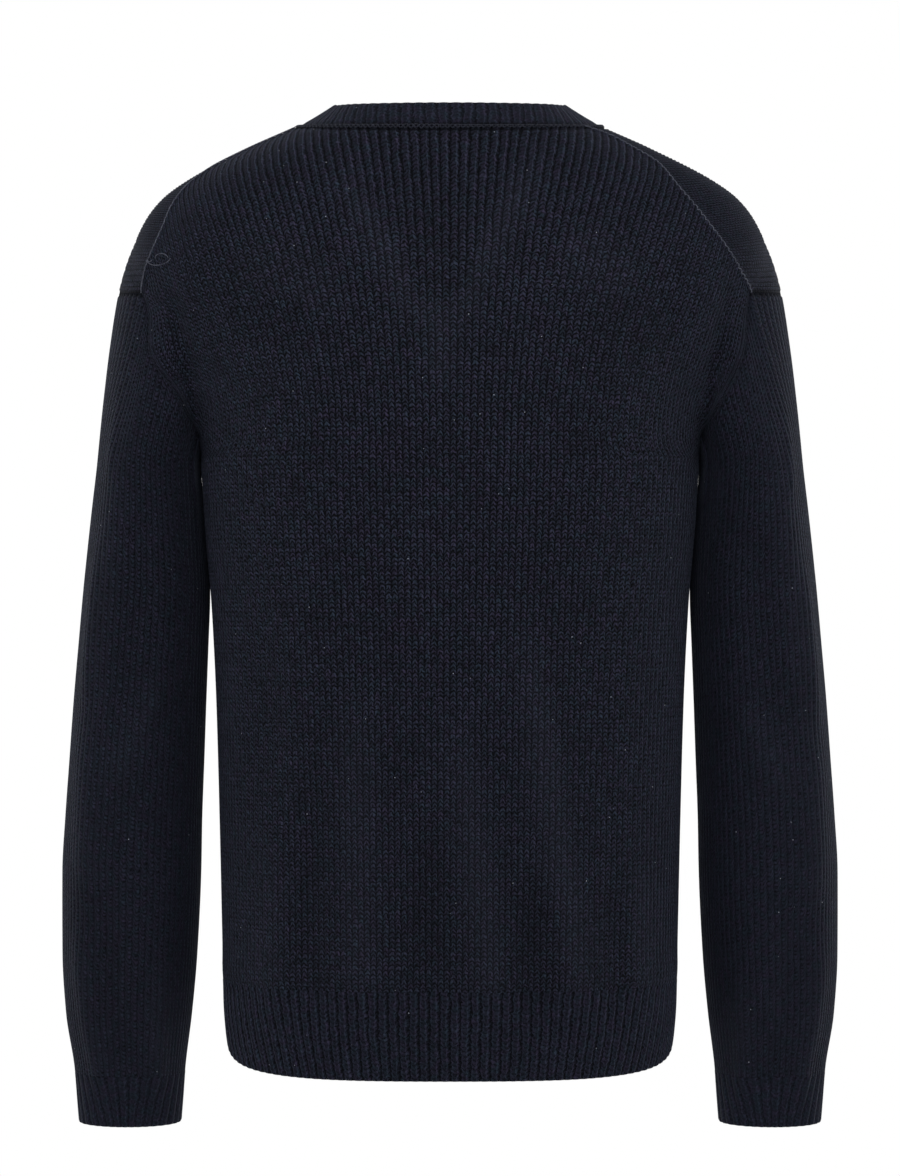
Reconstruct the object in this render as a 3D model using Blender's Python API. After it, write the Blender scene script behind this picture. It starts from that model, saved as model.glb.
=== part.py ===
"""V-neck sweater in navy knit, filled out as it hangs when worn, with nothing inside it.

Metres, +Z up. The front faces -Y, the back faces +Y and the left sleeve is at +X. The origin is
between the shoulders, at the level of the seam between the back and the neckband.

The cloth follows one smooth form. On the trunk and the shoulders a place is an angle and a
level: 0 degrees is the outermost line (the side seam, or the ridge of the shoulder), 90 degrees
the middle of the back and -90 degrees the middle of the front. Each knitted piece is a grid of
such places between its own edges, and gets its wall by extruding that grid inwards.
"""

import bmesh
import bpy
import numpy as np

# Walls and seams
CLOTH = 0.003  # plain knit
RIB_CLOTH = 0.004  # ribbed knit
SEAM_GAP = 0.0003
SHARPEST_CORNER = 0.3  # limits how far a corner moves when two of its edges draw back

# Heights that the pieces are cut to
NECK_SIDE = 0.0
SHOULDER_END = -0.1195  # outer end of the dropped shoulder
UNDERARM = -0.243
HEM_JOIN = -0.608
HEM_EDGE = -0.6704  # at the middle
HEM_CLIMB = 0.019  # the hem draws in and up towards the side seams
CUFF_JOIN = -0.6785
CUFF_EDGE = -0.7155

# The neck: its seam dips at the back, and in front it runs straight down to the point of the V.
# The band lies inside the seam and stands highest at the back.
BACK_NECK_DIP = 0.0083
V_POINT = -0.181
BAND_POINT = -0.138
BAND_RISE_AT_BACK = 0.0182
BAND_RISE_AT_SIDE = 0.0113
BAND_RISES_OVER = np.radians(22)

# Grids: columns are counted on half of a panel
NECK_COLUMNS = 6
SHOULDER_COLUMNS = 6
NECK_SHARE = 0.4  # of the half panel's stitches end at the neck, the rest at the shoulder
TRUNK_ROWS = 8
YOKE_ROWS = 10
OVERLAP_ROWS = 3  # of the front where it lies over the shoulder
SLEEVE_ROWS = 15
RIB_ROWS = 2

SEAM_SOFTNESS = 6  # power that blends trunk and arm: higher is a sharper fold between them
NAVY = (0.011, 0.014, 0.024, 1.0)
LEFT, RIGHT = 1, -1
SIDE_NAMES = {LEFT: "left", RIGHT: "right"}


def table(columns, *rows):
    """A table with named columns, as {name: array}."""
    return dict(zip(columns.split(), np.array(rows, float).T, strict=True))


# Trunk sections. Above the shoulder's end the half width is that of the whole outline.
# square is the power of the section's rounded oblong: 2 is an ellipse.
TRUNK = table(
    "level half_width back front square",
    (0.0180, 0.0780, 0.0580, 0.0420, 2.10),
    (0.0113, 0.0880, 0.0635, 0.0480, 2.10),
    (0.0000, 0.1070, 0.0720, 0.0560, 2.10),
    (-0.0172, 0.1445, 0.0820, 0.0680, 2.15),
    (-0.0385, 0.1862, 0.0905, 0.0800, 2.20),
    (-0.0522, 0.2052, 0.0950, 0.0870, 2.22),
    (-0.0654, 0.2160, 0.0990, 0.0930, 2.25),
    (-0.0800, 0.2235, 0.1030, 0.1000, 2.30),
    (-0.1000, 0.2265, 0.1080, 0.1080, 2.35),
    (-0.1200, 0.2200, 0.1120, 0.1160, 2.40),
    (-0.1400, 0.2090, 0.1150, 0.1220, 2.45),
    (-0.1600, 0.1985, 0.1175, 0.1270, 2.50),
    (-0.1800, 0.1905, 0.1195, 0.1305, 2.50),
    (-0.2000, 0.1845, 0.1205, 0.1320, 2.50),
    (-0.2240, 0.1797, 0.1205, 0.1320, 2.50),
    (-0.2430, 0.1775, 0.1200, 0.1315, 2.50),
    (-0.2900, 0.1743, 0.1175, 0.1300, 2.50),
    (-0.3400, 0.1700, 0.1145, 0.1280, 2.50),
    (-0.4100, 0.1665, 0.1110, 0.1255, 2.50),
    (-0.5000, 0.1640, 0.1085, 0.1235, 2.50),
    (-0.5900, 0.1620, 0.1080, 0.1210, 2.50),
    (-0.6250, 0.1612, 0.1070, 0.1200, 2.50),
    (-0.6450, 0.1597, 0.1055, 0.1180, 2.50),
    (-0.6704, 0.1560, 0.1020, 0.1140, 2.50),
)

# Arm sections. outer is the garment's outline from the neckband to the cuff, inner the side
# next to the trunk, depth half the section's size from front to back, centre where that lies:
# the sleeves hang slightly forward.
ARM = table(
    "level outer inner depth centre",
    (0.0180, 0.0780, 0.0500, 0.0000, 0.000),
    (0.0113, 0.0880, 0.0550, 0.0000, 0.000),
    (0.0000, 0.1070, 0.0600, 0.0000, 0.000),
    (-0.0172, 0.1445, 0.0800, 0.0010, 0.000),
    (-0.0385, 0.1862, 0.1000, 0.0180, 0.000),
    (-0.0522, 0.2052, 0.1090, 0.0310, 0.000),
    (-0.0654, 0.2160, 0.1170, 0.0410, 0.000),
    (-0.0800, 0.2235, 0.1235, 0.0480, 0.000),
    (-0.1000, 0.2315, 0.1310, 0.0535, 0.000),
    (-0.1200, 0.2368, 0.1370, 0.0575, -0.001),
    (-0.1600, 0.2432, 0.1470, 0.0640, -0.003),
    (-0.1970, 0.2479, 0.1600, 0.0665, -0.006),
    (-0.2240, 0.2508, 0.1737, 0.0675, -0.008),
    (-0.2430, 0.2528, 0.1781, 0.0675, -0.010),
    (-0.2700, 0.2562, 0.1766, 0.0670, -0.012),
    (-0.3000, 0.2598, 0.1747, 0.0660, -0.015),
    (-0.3310, 0.2632, 0.1727, 0.0645, -0.017),
    (-0.3725, 0.2670, 0.1741, 0.0625, -0.018),
    (-0.4130, 0.2705, 0.1756, 0.0610, -0.018),
    (-0.4530, 0.2733, 0.1769, 0.0585, -0.017),
    (-0.4930, 0.2761, 0.1783, 0.0562, -0.016),
    (-0.5330, 0.2784, 0.1791, 0.0540, -0.017),
    (-0.5930, 0.2787, 0.1822, 0.0510, -0.021),
    (-0.6350, 0.2767, 0.1862, 0.0465, -0.026),
    (-0.6762, 0.2708, 0.1914, 0.0390, -0.030),
    (-0.6970, 0.2694, 0.1930, 0.0355, -0.032),
    (-0.7155, 0.2680, 0.1945, 0.0340, -0.033),
)

# The seam on the back: the shoulder seam as far as the end of the shoulder, then the armhole.
# left and right are its distances from the middle; the sweater hangs a little to one side.
BACK_SEAM = table(
    "level left right",
    (0.0000, 0.1005, 0.0850),
    (-0.0053, 0.1125, 0.0949),
    (-0.0105, 0.1245, 0.1108),
    (-0.0208, 0.1480, 0.1294),
    (-0.0317, 0.1680, 0.1460),
    (-0.0483, 0.1872, 0.1589),
    (-0.0629, 0.1964, 0.1710),
    (-0.0756, 0.2010, 0.1808),
    (-0.0924, 0.2082, 0.1934),
    (-0.1075, 0.2140, 0.2028),
    (-0.1225, 0.2165, 0.2105),
    (-0.1380, 0.2120, 0.2090),
    (-0.1600, 0.2122, 0.2071),
    (-0.1750, 0.2063, 0.2025),
    (-0.1856, 0.1977, 0.1982),
    (-0.1985, 0.1895, 0.1906),
    (-0.2120, 0.1825, 0.1830),
    (-0.2250, 0.1767, 0.1767),
)
# The armhole on the front, from near the ridge down to the fold under the arm.
FRONT_SEAM = table(
    "level distance",
    (-0.1205, 0.2358),
    (-0.1250, 0.2330),
    (-0.1350, 0.2275),
    (-0.1480, 0.2200),
    (-0.1620, 0.2120),
    (-0.1750, 0.2045),
    (-0.1856, 0.1975),
    (-0.1985, 0.1895),
    (-0.2120, 0.1825),
    (-0.2250, 0.1767),
)
SHOULDER_CORNER = -0.1225  # where that seam turns from shoulder to armhole
FOLD_BEGINS = np.radians(105)  # turns round the arm, from its outermost line
FOLD_BLEND = 0.4  # of that turn, until the walls follow the fold alone
SEAM_HIDDEN_BELOW = -0.2250  # from here it runs in the fold under the arm


def read(source, column, level):
    """A column of a table at any level, on a smooth curve that never overshoots its rows."""
    knots, values = source["level"][::-1], source[column][::-1]
    level = np.clip(level, knots[0], knots[-1])
    steps = np.diff(knots)
    secants = np.diff(values) / steps
    before, after = secants[:-1], secants[1:]
    product = before * after
    total = np.where(np.abs(before + after) > 0, before + after, 1.0)
    middle = np.where(product > 0, 2 * product / total, 0.0)
    slopes = np.concatenate([secants[:1], middle, secants[-1:]])
    i = np.clip(np.searchsorted(knots, level, side="right") - 1, 0, len(steps) - 1)
    t = (level - knots[i]) / steps[i]
    start, end = values[i], values[i + 1]
    bend_start, bend_end = slopes[i] * steps[i], slopes[i + 1] * steps[i]
    smooth = t * t * (3 - 2 * t)
    return start + (end - start) * smooth + t * (1 - t) * (bend_start * (1 - t) - bend_end * t)


def power(base, exponent):
    """A signed power, so that a section closes on both sides of 0 degrees."""
    return np.sign(base) * np.abs(base) ** exponent


def trunk_width(level):
    return np.minimum(read(TRUNK, "half_width", level), read(ARM, "outer", level))


def trunk_depth(angle, level):
    return np.where(angle > 0, read(TRUNK, "back", level), read(TRUNK, "front", level))


def trunk_point(angle, level):
    """A place on the trunk below the arms."""
    angle, level = np.broadcast_arrays(np.asarray(angle, float), np.asarray(level, float))
    curve = 2 / read(TRUNK, "square", level)
    x = trunk_width(level) * power(np.cos(angle), curve)
    y = trunk_depth(angle, level) * power(np.sin(angle), curve)
    return np.stack([x, y, level], axis=-1)


def arm_section(level):
    """Where an arm's section is centred, and half its width."""
    outer, inner = read(ARM, "outer", level), read(ARM, "inner", level)
    return (outer + inner) / 2, (outer - inner) / 2


def arm_point(turn, level):
    """A place on a sleeve: 0 turns is its outermost line, a quarter turn its back."""
    turn, level = np.broadcast_arrays(np.asarray(turn, float), np.asarray(level, float))
    centre, radius = arm_section(level)
    x = centre + radius * np.cos(turn)
    y = read(ARM, "centre", level) + read(ARM, "depth", level) * np.sin(turn)
    return np.stack([x, y, level], axis=-1)


def shoulder_point(angle, level):
    """A place above the underarm, where trunk and arm run together with a soft fold between."""
    angle, level = np.broadcast_arrays(np.asarray(angle, float), np.asarray(level, float))
    x = read(ARM, "outer", level) * np.cos(angle)
    square = read(TRUNK, "square", level)
    inside = np.clip(1 - (np.abs(x) / trunk_width(level)) ** square, 0, None)
    trunk = trunk_depth(angle, level) * inside ** (1 / square)
    centre, radius = arm_section(level)
    round_arm = np.clip(1 - ((np.abs(x) - centre) / radius) ** 2, 0, None)
    arm = read(ARM, "depth", level) * np.sqrt(round_arm)
    y = (trunk**SEAM_SOFTNESS + arm**SEAM_SOFTNESS) ** (1 / SEAM_SOFTNESS)
    return np.stack([x, np.sign(angle) * y, level], axis=-1)


def outward(form, angle, level, step=2e-3):
    """The direction out of the cloth at places on a form, from the form on either side."""
    across = form(angle + step, level) - form(angle - step, level)
    up = form(angle, level + step) - form(angle, level - step)
    normal = np.cross(across, up)
    length = np.linalg.norm(normal, axis=-1, keepdims=True)
    return normal / np.maximum(length, 1e-12)


def angle_at(x, level):
    """The angle whose place at this level is this far from the middle."""
    return np.arccos(np.clip(x / read(ARM, "outer", level), -1, 1))


def turn_at(angle, level):
    """The turn round the arm of a place given by its angle."""
    centre, radius = arm_section(level)
    x = read(ARM, "outer", level) * np.cos(angle)
    return np.sign(angle) * np.arccos(np.clip((x - centre) / radius, -1, 1))


def walk(path, count, form=shoulder_point):
    """count + 1 places evenly spaced along a path of closely spaced places."""
    steps = np.linalg.norm(np.diff(form(path[:, 0], path[:, 1]), axis=0), axis=1)
    along = np.concatenate([[0], np.cumsum(steps)])
    wanted = np.linspace(0, along[-1], count + 1)
    return np.stack([np.interp(wanted, along, path[:, k]) for k in (0, 1)], axis=1)


FINE_ANGLES = np.linspace(np.pi / 2, 0, 1501)
FINE_LEVELS = np.linspace(UNDERARM, TRUNK["level"][0], 150)


def section_lengths(face):
    """How much cloth lies between the middle and each fine angle, at each fine level."""
    points = shoulder_point(face * FINE_ANGLES[None, :-1], FINE_LEVELS[:, None])
    ridge = points[:, -1:] * (1, 0, 1)
    steps = np.linalg.norm(np.diff(np.concatenate([points, ridge], axis=1), axis=1), axis=2)
    return np.concatenate([np.zeros((len(steps), 1)), np.cumsum(steps, axis=1)], axis=1)


SECTIONS = {face: section_lengths(face) for face in (1, -1)}


def section_at(face, level):
    i = np.interp(level, FINE_LEVELS, np.arange(len(FINE_LEVELS)))
    below = min(int(i), len(FINE_LEVELS) - 2)
    return SECTIONS[face][below] * (below + 1 - i) + SECTIONS[face][below + 1] * (i - below)


def unroll(face, places):
    """Places given by angle, as the length of cloth from the middle instead."""
    angles = -face * places[:, 0]
    lengths = [np.interp(a, -FINE_ANGLES, section_at(face, z)) for a, z in zip(angles, places[:, 1])]
    return np.stack([lengths, places[:, 1]], axis=1)


def roll_up(face, grid):
    """The other way, for a whole grid."""
    rolled = grid.copy()
    for row in rolled.reshape(-1, 2):
        row[0] = face * np.interp(row[0], section_at(face, row[1]), FINE_ANGLES)
    return rolled


def panel_fill(face, bottom, top, left, right):
    """A grid of places between four edges that meet at their ends, evenly spaced in cloth."""
    grid = fill(*(unroll(face, edge) for edge in (bottom, top, left, right)))
    rolled = roll_up(face, grid)
    rolled[0], rolled[-1], rolled[:, 0], rolled[:, -1] = bottom, top, left, right
    return rolled


def fill(bottom, top, left, right):
    """A grid between four edges that meet at their ends."""
    s = np.linspace(0, 1, len(bottom))[None, :, None]
    t = np.linspace(0, 1, len(left))[:, None, None]
    across = (1 - s) * left[:, None] + s * right[:, None]
    upwards = (1 - t) * bottom[None] + t * top[None]
    corners = (1 - t) * ((1 - s) * bottom[0] + s * bottom[-1]) + t * (
        (1 - s) * top[0] + s * top[-1]
    )
    return across + upwards - corners


# Edges that pieces share, on the left or the right half


def shares():
    """How far round the half panel each column runs, from the middle to the side."""
    neck = np.linspace(0, NECK_SHARE, NECK_COLUMNS + 1)
    shoulder = np.linspace(NECK_SHARE, 1, SHOULDER_COLUMNS + 1)
    return np.concatenate([neck, shoulder[1:]])


def ring_angles(face, level):
    """The columns' angles on the trunk at one level, spaced by length of cloth."""
    dense = face * np.linspace(np.pi / 2, 0, 241)
    steps = np.linalg.norm(np.diff(trunk_point(dense, level), axis=0), axis=1)
    along = np.concatenate([[0], np.cumsum(steps)])
    return np.interp(shares() * along[-1], along, dense)


def underarm_edge(face):
    x = trunk_point(ring_angles(face, UNDERARM), UNDERARM)[:, 0]
    return np.stack([face * angle_at(x, UNDERARM), np.full(len(x), UNDERARM)], axis=1)


def seam_places(seam, column, start, end):
    levels = np.linspace(start, end, 401)
    return np.stack([angle_at(read(seam, column, levels), levels), levels], axis=1)


def neck_level(angle):
    return NECK_SIDE - BACK_NECK_DIP * np.sin(np.maximum(angle, 0))


def shoulder_seam(side):
    """From the neck to the end of the shoulder, on the back."""
    places = seam_places(BACK_SEAM, SIDE_NAMES[side], NECK_SIDE, SHOULDER_CORNER)
    below_neck = places[:, 1] < neck_level(places[:, 0])
    return walk(places[below_neck], SHOULDER_COLUMNS)


def fold_under_arm(end):
    """From the underarm to the place where the armhole seam comes out of the fold."""
    end_turn = turn_at(*end)
    turn = np.linspace(np.pi, end_turn, 41)[:-1]
    lift = (1 + np.cos(turn)) / (1 + np.cos(end_turn))
    levels = UNDERARM + (end[1] - UNDERARM) * lift
    return np.stack([angle_at(arm_point(turn, levels)[:, 0], levels), levels], axis=1)


def armhole_back(side):
    """From the underarm up to the end of the shoulder seam."""
    seen = seam_places(BACK_SEAM, SIDE_NAMES[side], SEAM_HIDDEN_BELOW, SHOULDER_CORNER)
    return walk(np.concatenate([fold_under_arm(seen[0]), seen]), YOKE_ROWS)


def armhole_front():
    """From the underarm up to the outer end of the shoulder, on the front."""
    seen = seam_places(FRONT_SEAM, "distance", SEAM_HIDDEN_BELOW, FRONT_SEAM["level"][0])
    end = np.array([(0, SHOULDER_END)])
    return walk(np.concatenate([fold_under_arm(seen[0]), seen, end]) * (-1, 1), YOKE_ROWS)


def shoulder_ridge():
    """From the side of the neck to the outer end of the shoulder, over the top."""
    levels = np.linspace(NECK_SIDE, SHOULDER_END, 81)
    return walk(np.stack([0 * levels, levels], axis=1), SHOULDER_COLUMNS)


def shoulder_end_edge(side):
    """Level with the ground round the back of the arm, from the ridge to the seam's corner."""
    end = shoulder_seam(side)[-1]
    return np.linspace((0, SHOULDER_END), end, OVERLAP_ROWS + 1)


def neck_back(side):
    """From the middle of the back to the shoulder seam."""
    end = shoulder_seam(side)[0]
    angles = np.linspace(np.pi / 2, end[0], 81)
    places = walk(np.stack([angles, neck_level(angles)], axis=1), NECK_COLUMNS + SHOULDER_COLUMNS)
    places[-1] = end
    return places


def neck_side(side):
    """From the ridge of the shoulder back to the shoulder seam."""
    return np.linspace((0, NECK_SIDE), shoulder_seam(side)[0], OVERLAP_ROWS + 1)


def v_line(share, top_x, top, point):
    """A straight side of the V: share 0 is at the side of the neck and 1 at the point."""
    levels = top + (point - top) * share
    return np.stack([-angle_at(top_x * (1 - share), levels), levels], axis=1)


def v_seam():
    """From the point of the V up to the side of the neck."""
    neck_x = read(ARM, "outer", NECK_SIDE)
    return walk(v_line(np.linspace(1, 0, 201), neck_x, NECK_SIDE, V_POINT), NECK_COLUMNS)


# Knitted pieces, each on one half as places and directions


def on_form(form, places):
    angle, level = places[..., 0], places[..., 1]
    return form(angle, level), outward(form, angle, level)


def to_side(side, cloth):
    """The same cloth on the left or the right half."""
    flip = np.array([side, 1, 1])
    return tuple(part * flip for part in cloth)


def stack_rows(*cloths):
    return tuple(np.concatenate(parts) for parts in zip(*cloths, strict=True))


def whole(left, right):
    """Both halves of a panel as one grid, from the left side to the right."""
    return tuple(
        np.concatenate([a[:, ::-1], b[:, 1:]], axis=1) for a, b in zip(left, right, strict=True)
    )


def trunk_rows(face, bottom, top, count, climb=0):
    """Rows round half of the trunk between two levels; the lowest climbs towards the side."""
    rows = []
    for t in np.linspace(0, 1, count + 1):
        level = bottom + (top - bottom) * t
        climbing = level + climb * (1 - t) * shares() ** 5
        rows.append(np.stack([ring_angles(face, level), climbing], axis=1))
    return on_form(trunk_point, np.array(rows))


def hem_half(face):
    return trunk_rows(face, HEM_EDGE, HEM_JOIN, RIB_ROWS, HEM_CLIMB)


def lower_half(face):
    return trunk_rows(face, HEM_JOIN, UNDERARM, TRUNK_ROWS)


def armhole_cloth(side):
    """The armhole's places and directions, which panels and sleeve share.

    In the fold under the arm the two cloths face each other, and the way out of the wall is
    the way out of the fold: square to the seam and to the line from arm to arm.
    """
    ring = armhole_ring(side)
    points, directions = on_form(shoulder_point, ring)
    loop = points[:-1]
    along = np.roll(loop, -1, axis=0) - np.roll(loop, 1, axis=0)
    along = np.concatenate([along, along[:1]])
    out_of_fold = np.cross(along, (1, 0, 0))
    out_of_fold /= np.linalg.norm(out_of_fold, axis=1, keepdims=True)
    turn = np.abs(turn_at(ring[:, 0], ring[:, 1]))
    hidden = np.clip(turn / FOLD_BEGINS - 1, 0, FOLD_BLEND) / FOLD_BLEND
    directions = directions + (out_of_fold - directions) * hidden[:, None]
    return points, directions / np.linalg.norm(directions, axis=1, keepdims=True)


def join_armhole(cloth, edge_directions):
    """Give the outer edge of a panel, from the underarm up, the directions of its armhole."""
    points, directions = cloth
    rows = slice(TRUNK_ROWS, TRUNK_ROWS + YOKE_ROWS + 1)
    directions[rows, -1] = edge_directions
    return points, directions


def back_half(side):
    """Rows from the middle to the armhole, then to the shoulder seam, up to the neck."""
    edge = np.concatenate([armhole_back(side), shoulder_seam(side)[::-1][1:]])
    top = neck_back(side)
    lift = (edge[:, 1] - UNDERARM) / (edge[-1, 1] - UNDERARM)
    levels = UNDERARM + (top[0, 1] - UNDERARM) * lift
    middle = np.stack([np.full(len(edge), np.pi / 2), levels], axis=1)
    yoke = panel_fill(1, underarm_edge(1), top, middle, edge)
    cloth = stack_rows(lower_half(1), on_form(shoulder_point, yoke[1:]))
    return to_side(side, join_armhole(cloth, armhole_cloth(side)[1][: YOKE_ROWS + 1]))


def front_half(side):
    top = np.concatenate([v_seam(), shoulder_ridge()[1:]])
    middle = np.linspace((-np.pi / 2, UNDERARM), (-np.pi / 2, V_POINT), YOKE_ROWS + 1)
    yoke = panel_fill(-1, underarm_edge(-1), top, middle, armhole_front())
    cloth = stack_rows(lower_half(-1), on_form(shoulder_point, yoke[1:]))
    upwards = armhole_cloth(side)[1][: -YOKE_ROWS - 2 : -1]
    return to_side(side, join_armhole(cloth, upwards))


def front_overlap(side):
    """The part of the front that lies over the shoulder and ends at the seam on the back."""
    places = fill(shoulder_ridge(), shoulder_seam(side), neck_side(side), shoulder_end_edge(side))
    return to_side(side, on_form(shoulder_point, places))


def armhole_ring(side):
    """All round the armhole: up the back from the underarm, over the arm, down the front."""
    over = shoulder_end_edge(side)[::-1]
    return np.concatenate([armhole_back(side), over[1:], armhole_front()[::-1][1:]])


def sleeve(side):
    ring = armhole_ring(side)
    turn, start = turn_at(ring[:, 0], ring[:, 1]), ring[:, 1]
    turn[0], turn[-1] = np.pi, -np.pi
    edge, edge_out = armhole_cloth(side)
    pull = edge - arm_point(turn, start)
    points, directions = [], []
    for t in np.linspace(0, 1, SLEEVE_ROWS + 1):
        level = start + (CUFF_JOIN - start) * t
        fade = max(0, 1 - 4 * t) ** 2
        points.append(arm_point(turn, level) + pull * fade)
        directions.append(outward(arm_point, turn, level))
    directions[0] = edge_out
    return to_side(side, (np.array(points), np.array(directions)))


def cuff(side):
    ring = armhole_ring(side)
    turn = turn_at(ring[:, 0], ring[:, 1])
    turn[0], turn[-1] = np.pi, -np.pi
    turn, level = np.meshgrid(turn, np.linspace(CUFF_JOIN, CUFF_EDGE, RIB_ROWS + 1))
    return to_side(side, on_form(arm_point, np.stack([turn, level], axis=-1)))


def band_half(side):
    """Half of the neckband from the middle of the back to the point of the V."""
    over = neck_side(side)[::-1]
    seam = np.concatenate([neck_back(side), over[1:], v_seam()[::-1][1:]])
    behind = NECK_COLUMNS + SHOULDER_COLUMNS + OVERLAP_ROWS + 1
    lift = np.clip(seam[:behind, 0] / BAND_RISES_OVER, 0, 1)
    lift = lift * lift * (3 - 2 * lift)
    rise = BAND_RISE_AT_SIDE + (BAND_RISE_AT_BACK - BAND_RISE_AT_SIDE) * lift
    top_behind = np.stack([seam[:behind, 0], seam[:behind, 1] + rise], axis=1)
    share = (seam[behind:, 1] - NECK_SIDE) / (V_POINT - NECK_SIDE)
    side_level = NECK_SIDE + BAND_RISE_AT_SIDE
    top_before = v_line(share, read(ARM, "outer", side_level), side_level, BAND_POINT)
    edge = np.concatenate([top_behind, top_before])
    t = np.linspace(0, 1, RIB_ROWS + 1)[:, None, None]
    return to_side(side, on_form(shoulder_point, (1 - t) * seam + t * edge))


def neckband():
    """All round the neck, starting and ending at the middle of the back."""
    left, right = band_half(LEFT), band_half(RIGHT)
    return tuple(
        np.concatenate([a, b[:, ::-1][:, 1:]], axis=1) for a, b in zip(left, right, strict=True)
    )


# From grids to solids


def inset_seams(bm, distance):
    """Draw the open edges of the cloth back from the seam, square to the seam and the wall."""
    inner = bm.verts.layers.float_vector["inner"]
    inwards = {}
    for edge in bm.edges:
        if not edge.is_boundary:
            continue
        loop = edge.link_loops[0]
        along = loop.link_loop_next.vert.co - loop.vert.co
        for vert in edge.verts:
            away = (vert.co - vert[inner]).cross(along).normalized()
            inwards.setdefault(vert, []).append(away)
    for vert, (a, b) in inwards.items():
        move = (a + b) * distance / max(1 + a.dot(b), SHARPEST_CORNER)
        vert[inner] = vert[inner] + move
        vert.co += move


def knit_piece(name, collection, material, wall, *cloths):
    """A closed wall of cloth from one or more grids, which are joined where they meet."""
    bm = bmesh.new()
    inner = bm.verts.layers.float_vector.new("inner")
    for points, directions in cloths:
        rows, columns = points.shape[:2]
        grid = bmesh.ops.create_grid(bm, x_segments=columns - 1, y_segments=rows - 1, size=1)
        inside = points - directions * wall
        flat = zip(points.reshape(-1, 3), inside.reshape(-1, 3), strict=True)
        for vert, (place, under) in zip(grid["verts"], flat, strict=True):
            vert.co = place
            vert[inner] = under
    bmesh.ops.remove_doubles(bm, verts=bm.verts, dist=1e-5)
    bmesh.ops.recalc_face_normals(bm, faces=bm.faces)
    outwards = sum(face.normal.dot(face.verts[0].co - face.verts[0][inner]) for face in bm.faces)
    if outwards < 0:
        bmesh.ops.reverse_faces(bm, faces=bm.faces)
    inset_seams(bm, SEAM_GAP / 2)
    extruded = bmesh.ops.extrude_face_region(bm, geom=bm.faces[:])
    for item in extruded["geom"]:
        if isinstance(item, bmesh.types.BMVert):
            item.co = item[inner]
    bmesh.ops.recalc_face_normals(bm, faces=bm.faces)
    bmesh.ops.triangulate(bm, faces=bm.faces, quad_method="SHORT_EDGE")
    mesh = bpy.data.meshes.new(name)
    bm.to_mesh(mesh)
    bm.free()
    mesh.shade_smooth()
    mesh.materials.append(material)
    collection.objects.link(bpy.data.objects.new(name, mesh))


def yarn(name, colour, roughness):
    material = bpy.data.materials.new(name)
    material.use_nodes = True
    shader = material.node_tree.nodes["Principled BSDF"]
    shader.inputs["Base Color"].default_value = colour
    shader.inputs["Roughness"].default_value = roughness
    shader.inputs["Metallic"].default_value = 0
    return material


def build():
    for old in list(bpy.data.objects):
        bpy.data.objects.remove(old, do_unlink=True)
    sweater = bpy.data.collections.new("v_neck_sweater")
    bpy.context.scene.collection.children.link(sweater)
    plain = yarn("plain_knit", NAVY, 0.92)
    rib = yarn("ribbed_knit", NAVY, 0.9)

    back = whole(back_half(LEFT), back_half(RIGHT))
    knit_piece("back_panel", sweater, plain, CLOTH, back)
    front = whole(front_half(LEFT), front_half(RIGHT))
    overlaps = front_overlap(LEFT), front_overlap(RIGHT)
    knit_piece("front_panel", sweater, plain, CLOTH, front, *overlaps)
    for name, face in (("hem_rib_back", 1), ("hem_rib_front", -1)):
        hem = whole(hem_half(face), to_side(RIGHT, hem_half(face)))
        knit_piece(name, sweater, rib, RIB_CLOTH, hem)
    for side, name in SIDE_NAMES.items():
        knit_piece("sleeve_" + name, sweater, plain, CLOTH, sleeve(side))
        knit_piece("cuff_" + name, sweater, rib, RIB_CLOTH, cuff(side))
    knit_piece("neckband", sweater, rib, RIB_CLOTH, neckband())


build()
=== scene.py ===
import bmesh
import bpy
import numpy as np
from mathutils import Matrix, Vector, kdtree


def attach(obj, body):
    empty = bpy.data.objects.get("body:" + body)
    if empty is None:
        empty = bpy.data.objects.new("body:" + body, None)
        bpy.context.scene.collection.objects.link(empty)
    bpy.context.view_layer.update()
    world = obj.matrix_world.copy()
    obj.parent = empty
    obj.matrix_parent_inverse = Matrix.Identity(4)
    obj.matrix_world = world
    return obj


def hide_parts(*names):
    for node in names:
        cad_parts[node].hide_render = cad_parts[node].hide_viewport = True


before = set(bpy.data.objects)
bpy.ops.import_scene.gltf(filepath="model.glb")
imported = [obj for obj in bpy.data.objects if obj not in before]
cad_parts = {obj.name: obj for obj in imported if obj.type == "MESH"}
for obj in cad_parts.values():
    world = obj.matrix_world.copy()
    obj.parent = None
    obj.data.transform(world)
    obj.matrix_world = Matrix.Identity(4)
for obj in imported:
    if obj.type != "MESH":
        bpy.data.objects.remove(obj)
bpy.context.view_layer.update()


# ---------------------------------------------------------------------------------------------
# The back panel. Plain knit in a thick navy yarn, 2.2 wales to the centimetre. Its wales run
# straight up from the hem and spread over the shoulder blades; the sides go round the body to
# the side seams. It hangs over the trunk in soft folds that grow towards the hem.
# ---------------------------------------------------------------------------------------------
CLOTH = 0.003
HEM_JOIN = -0.608
HEM_EDGE = -0.6704
UNDERARM = -0.243
SHOULDER_END = -0.1195
SHOULDER_CORNER = -0.1225
BACK_NECK_DIP = 0.0083
COURSE = 0.0032  # height of a stitch
COLUMNS_PER_WALE = 4
BACK_WALES = 53  # on half of the panel
TRUNK_ROWS = 58
YOKE_ROWS = 36
SEAM_ROWS = (0.0009, 0.0022, 0.004, 0.0065)  # rows closer together below a seam
WALE_DEPTH = 0.00018  # of the groove between two wales
DRAWN_DEPTH = 0.00032  # of the same groove where the cloth is drawn towards the shoulders
DRAWN_FROM, DRAWN_TO = -0.105, -0.03  # levels between which it deepens
SEAM_GAP = 0.00015
SHARPEST_CORNER = 0.3
SHARP_EDGE = np.radians(60)
BLEND = 6
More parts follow.
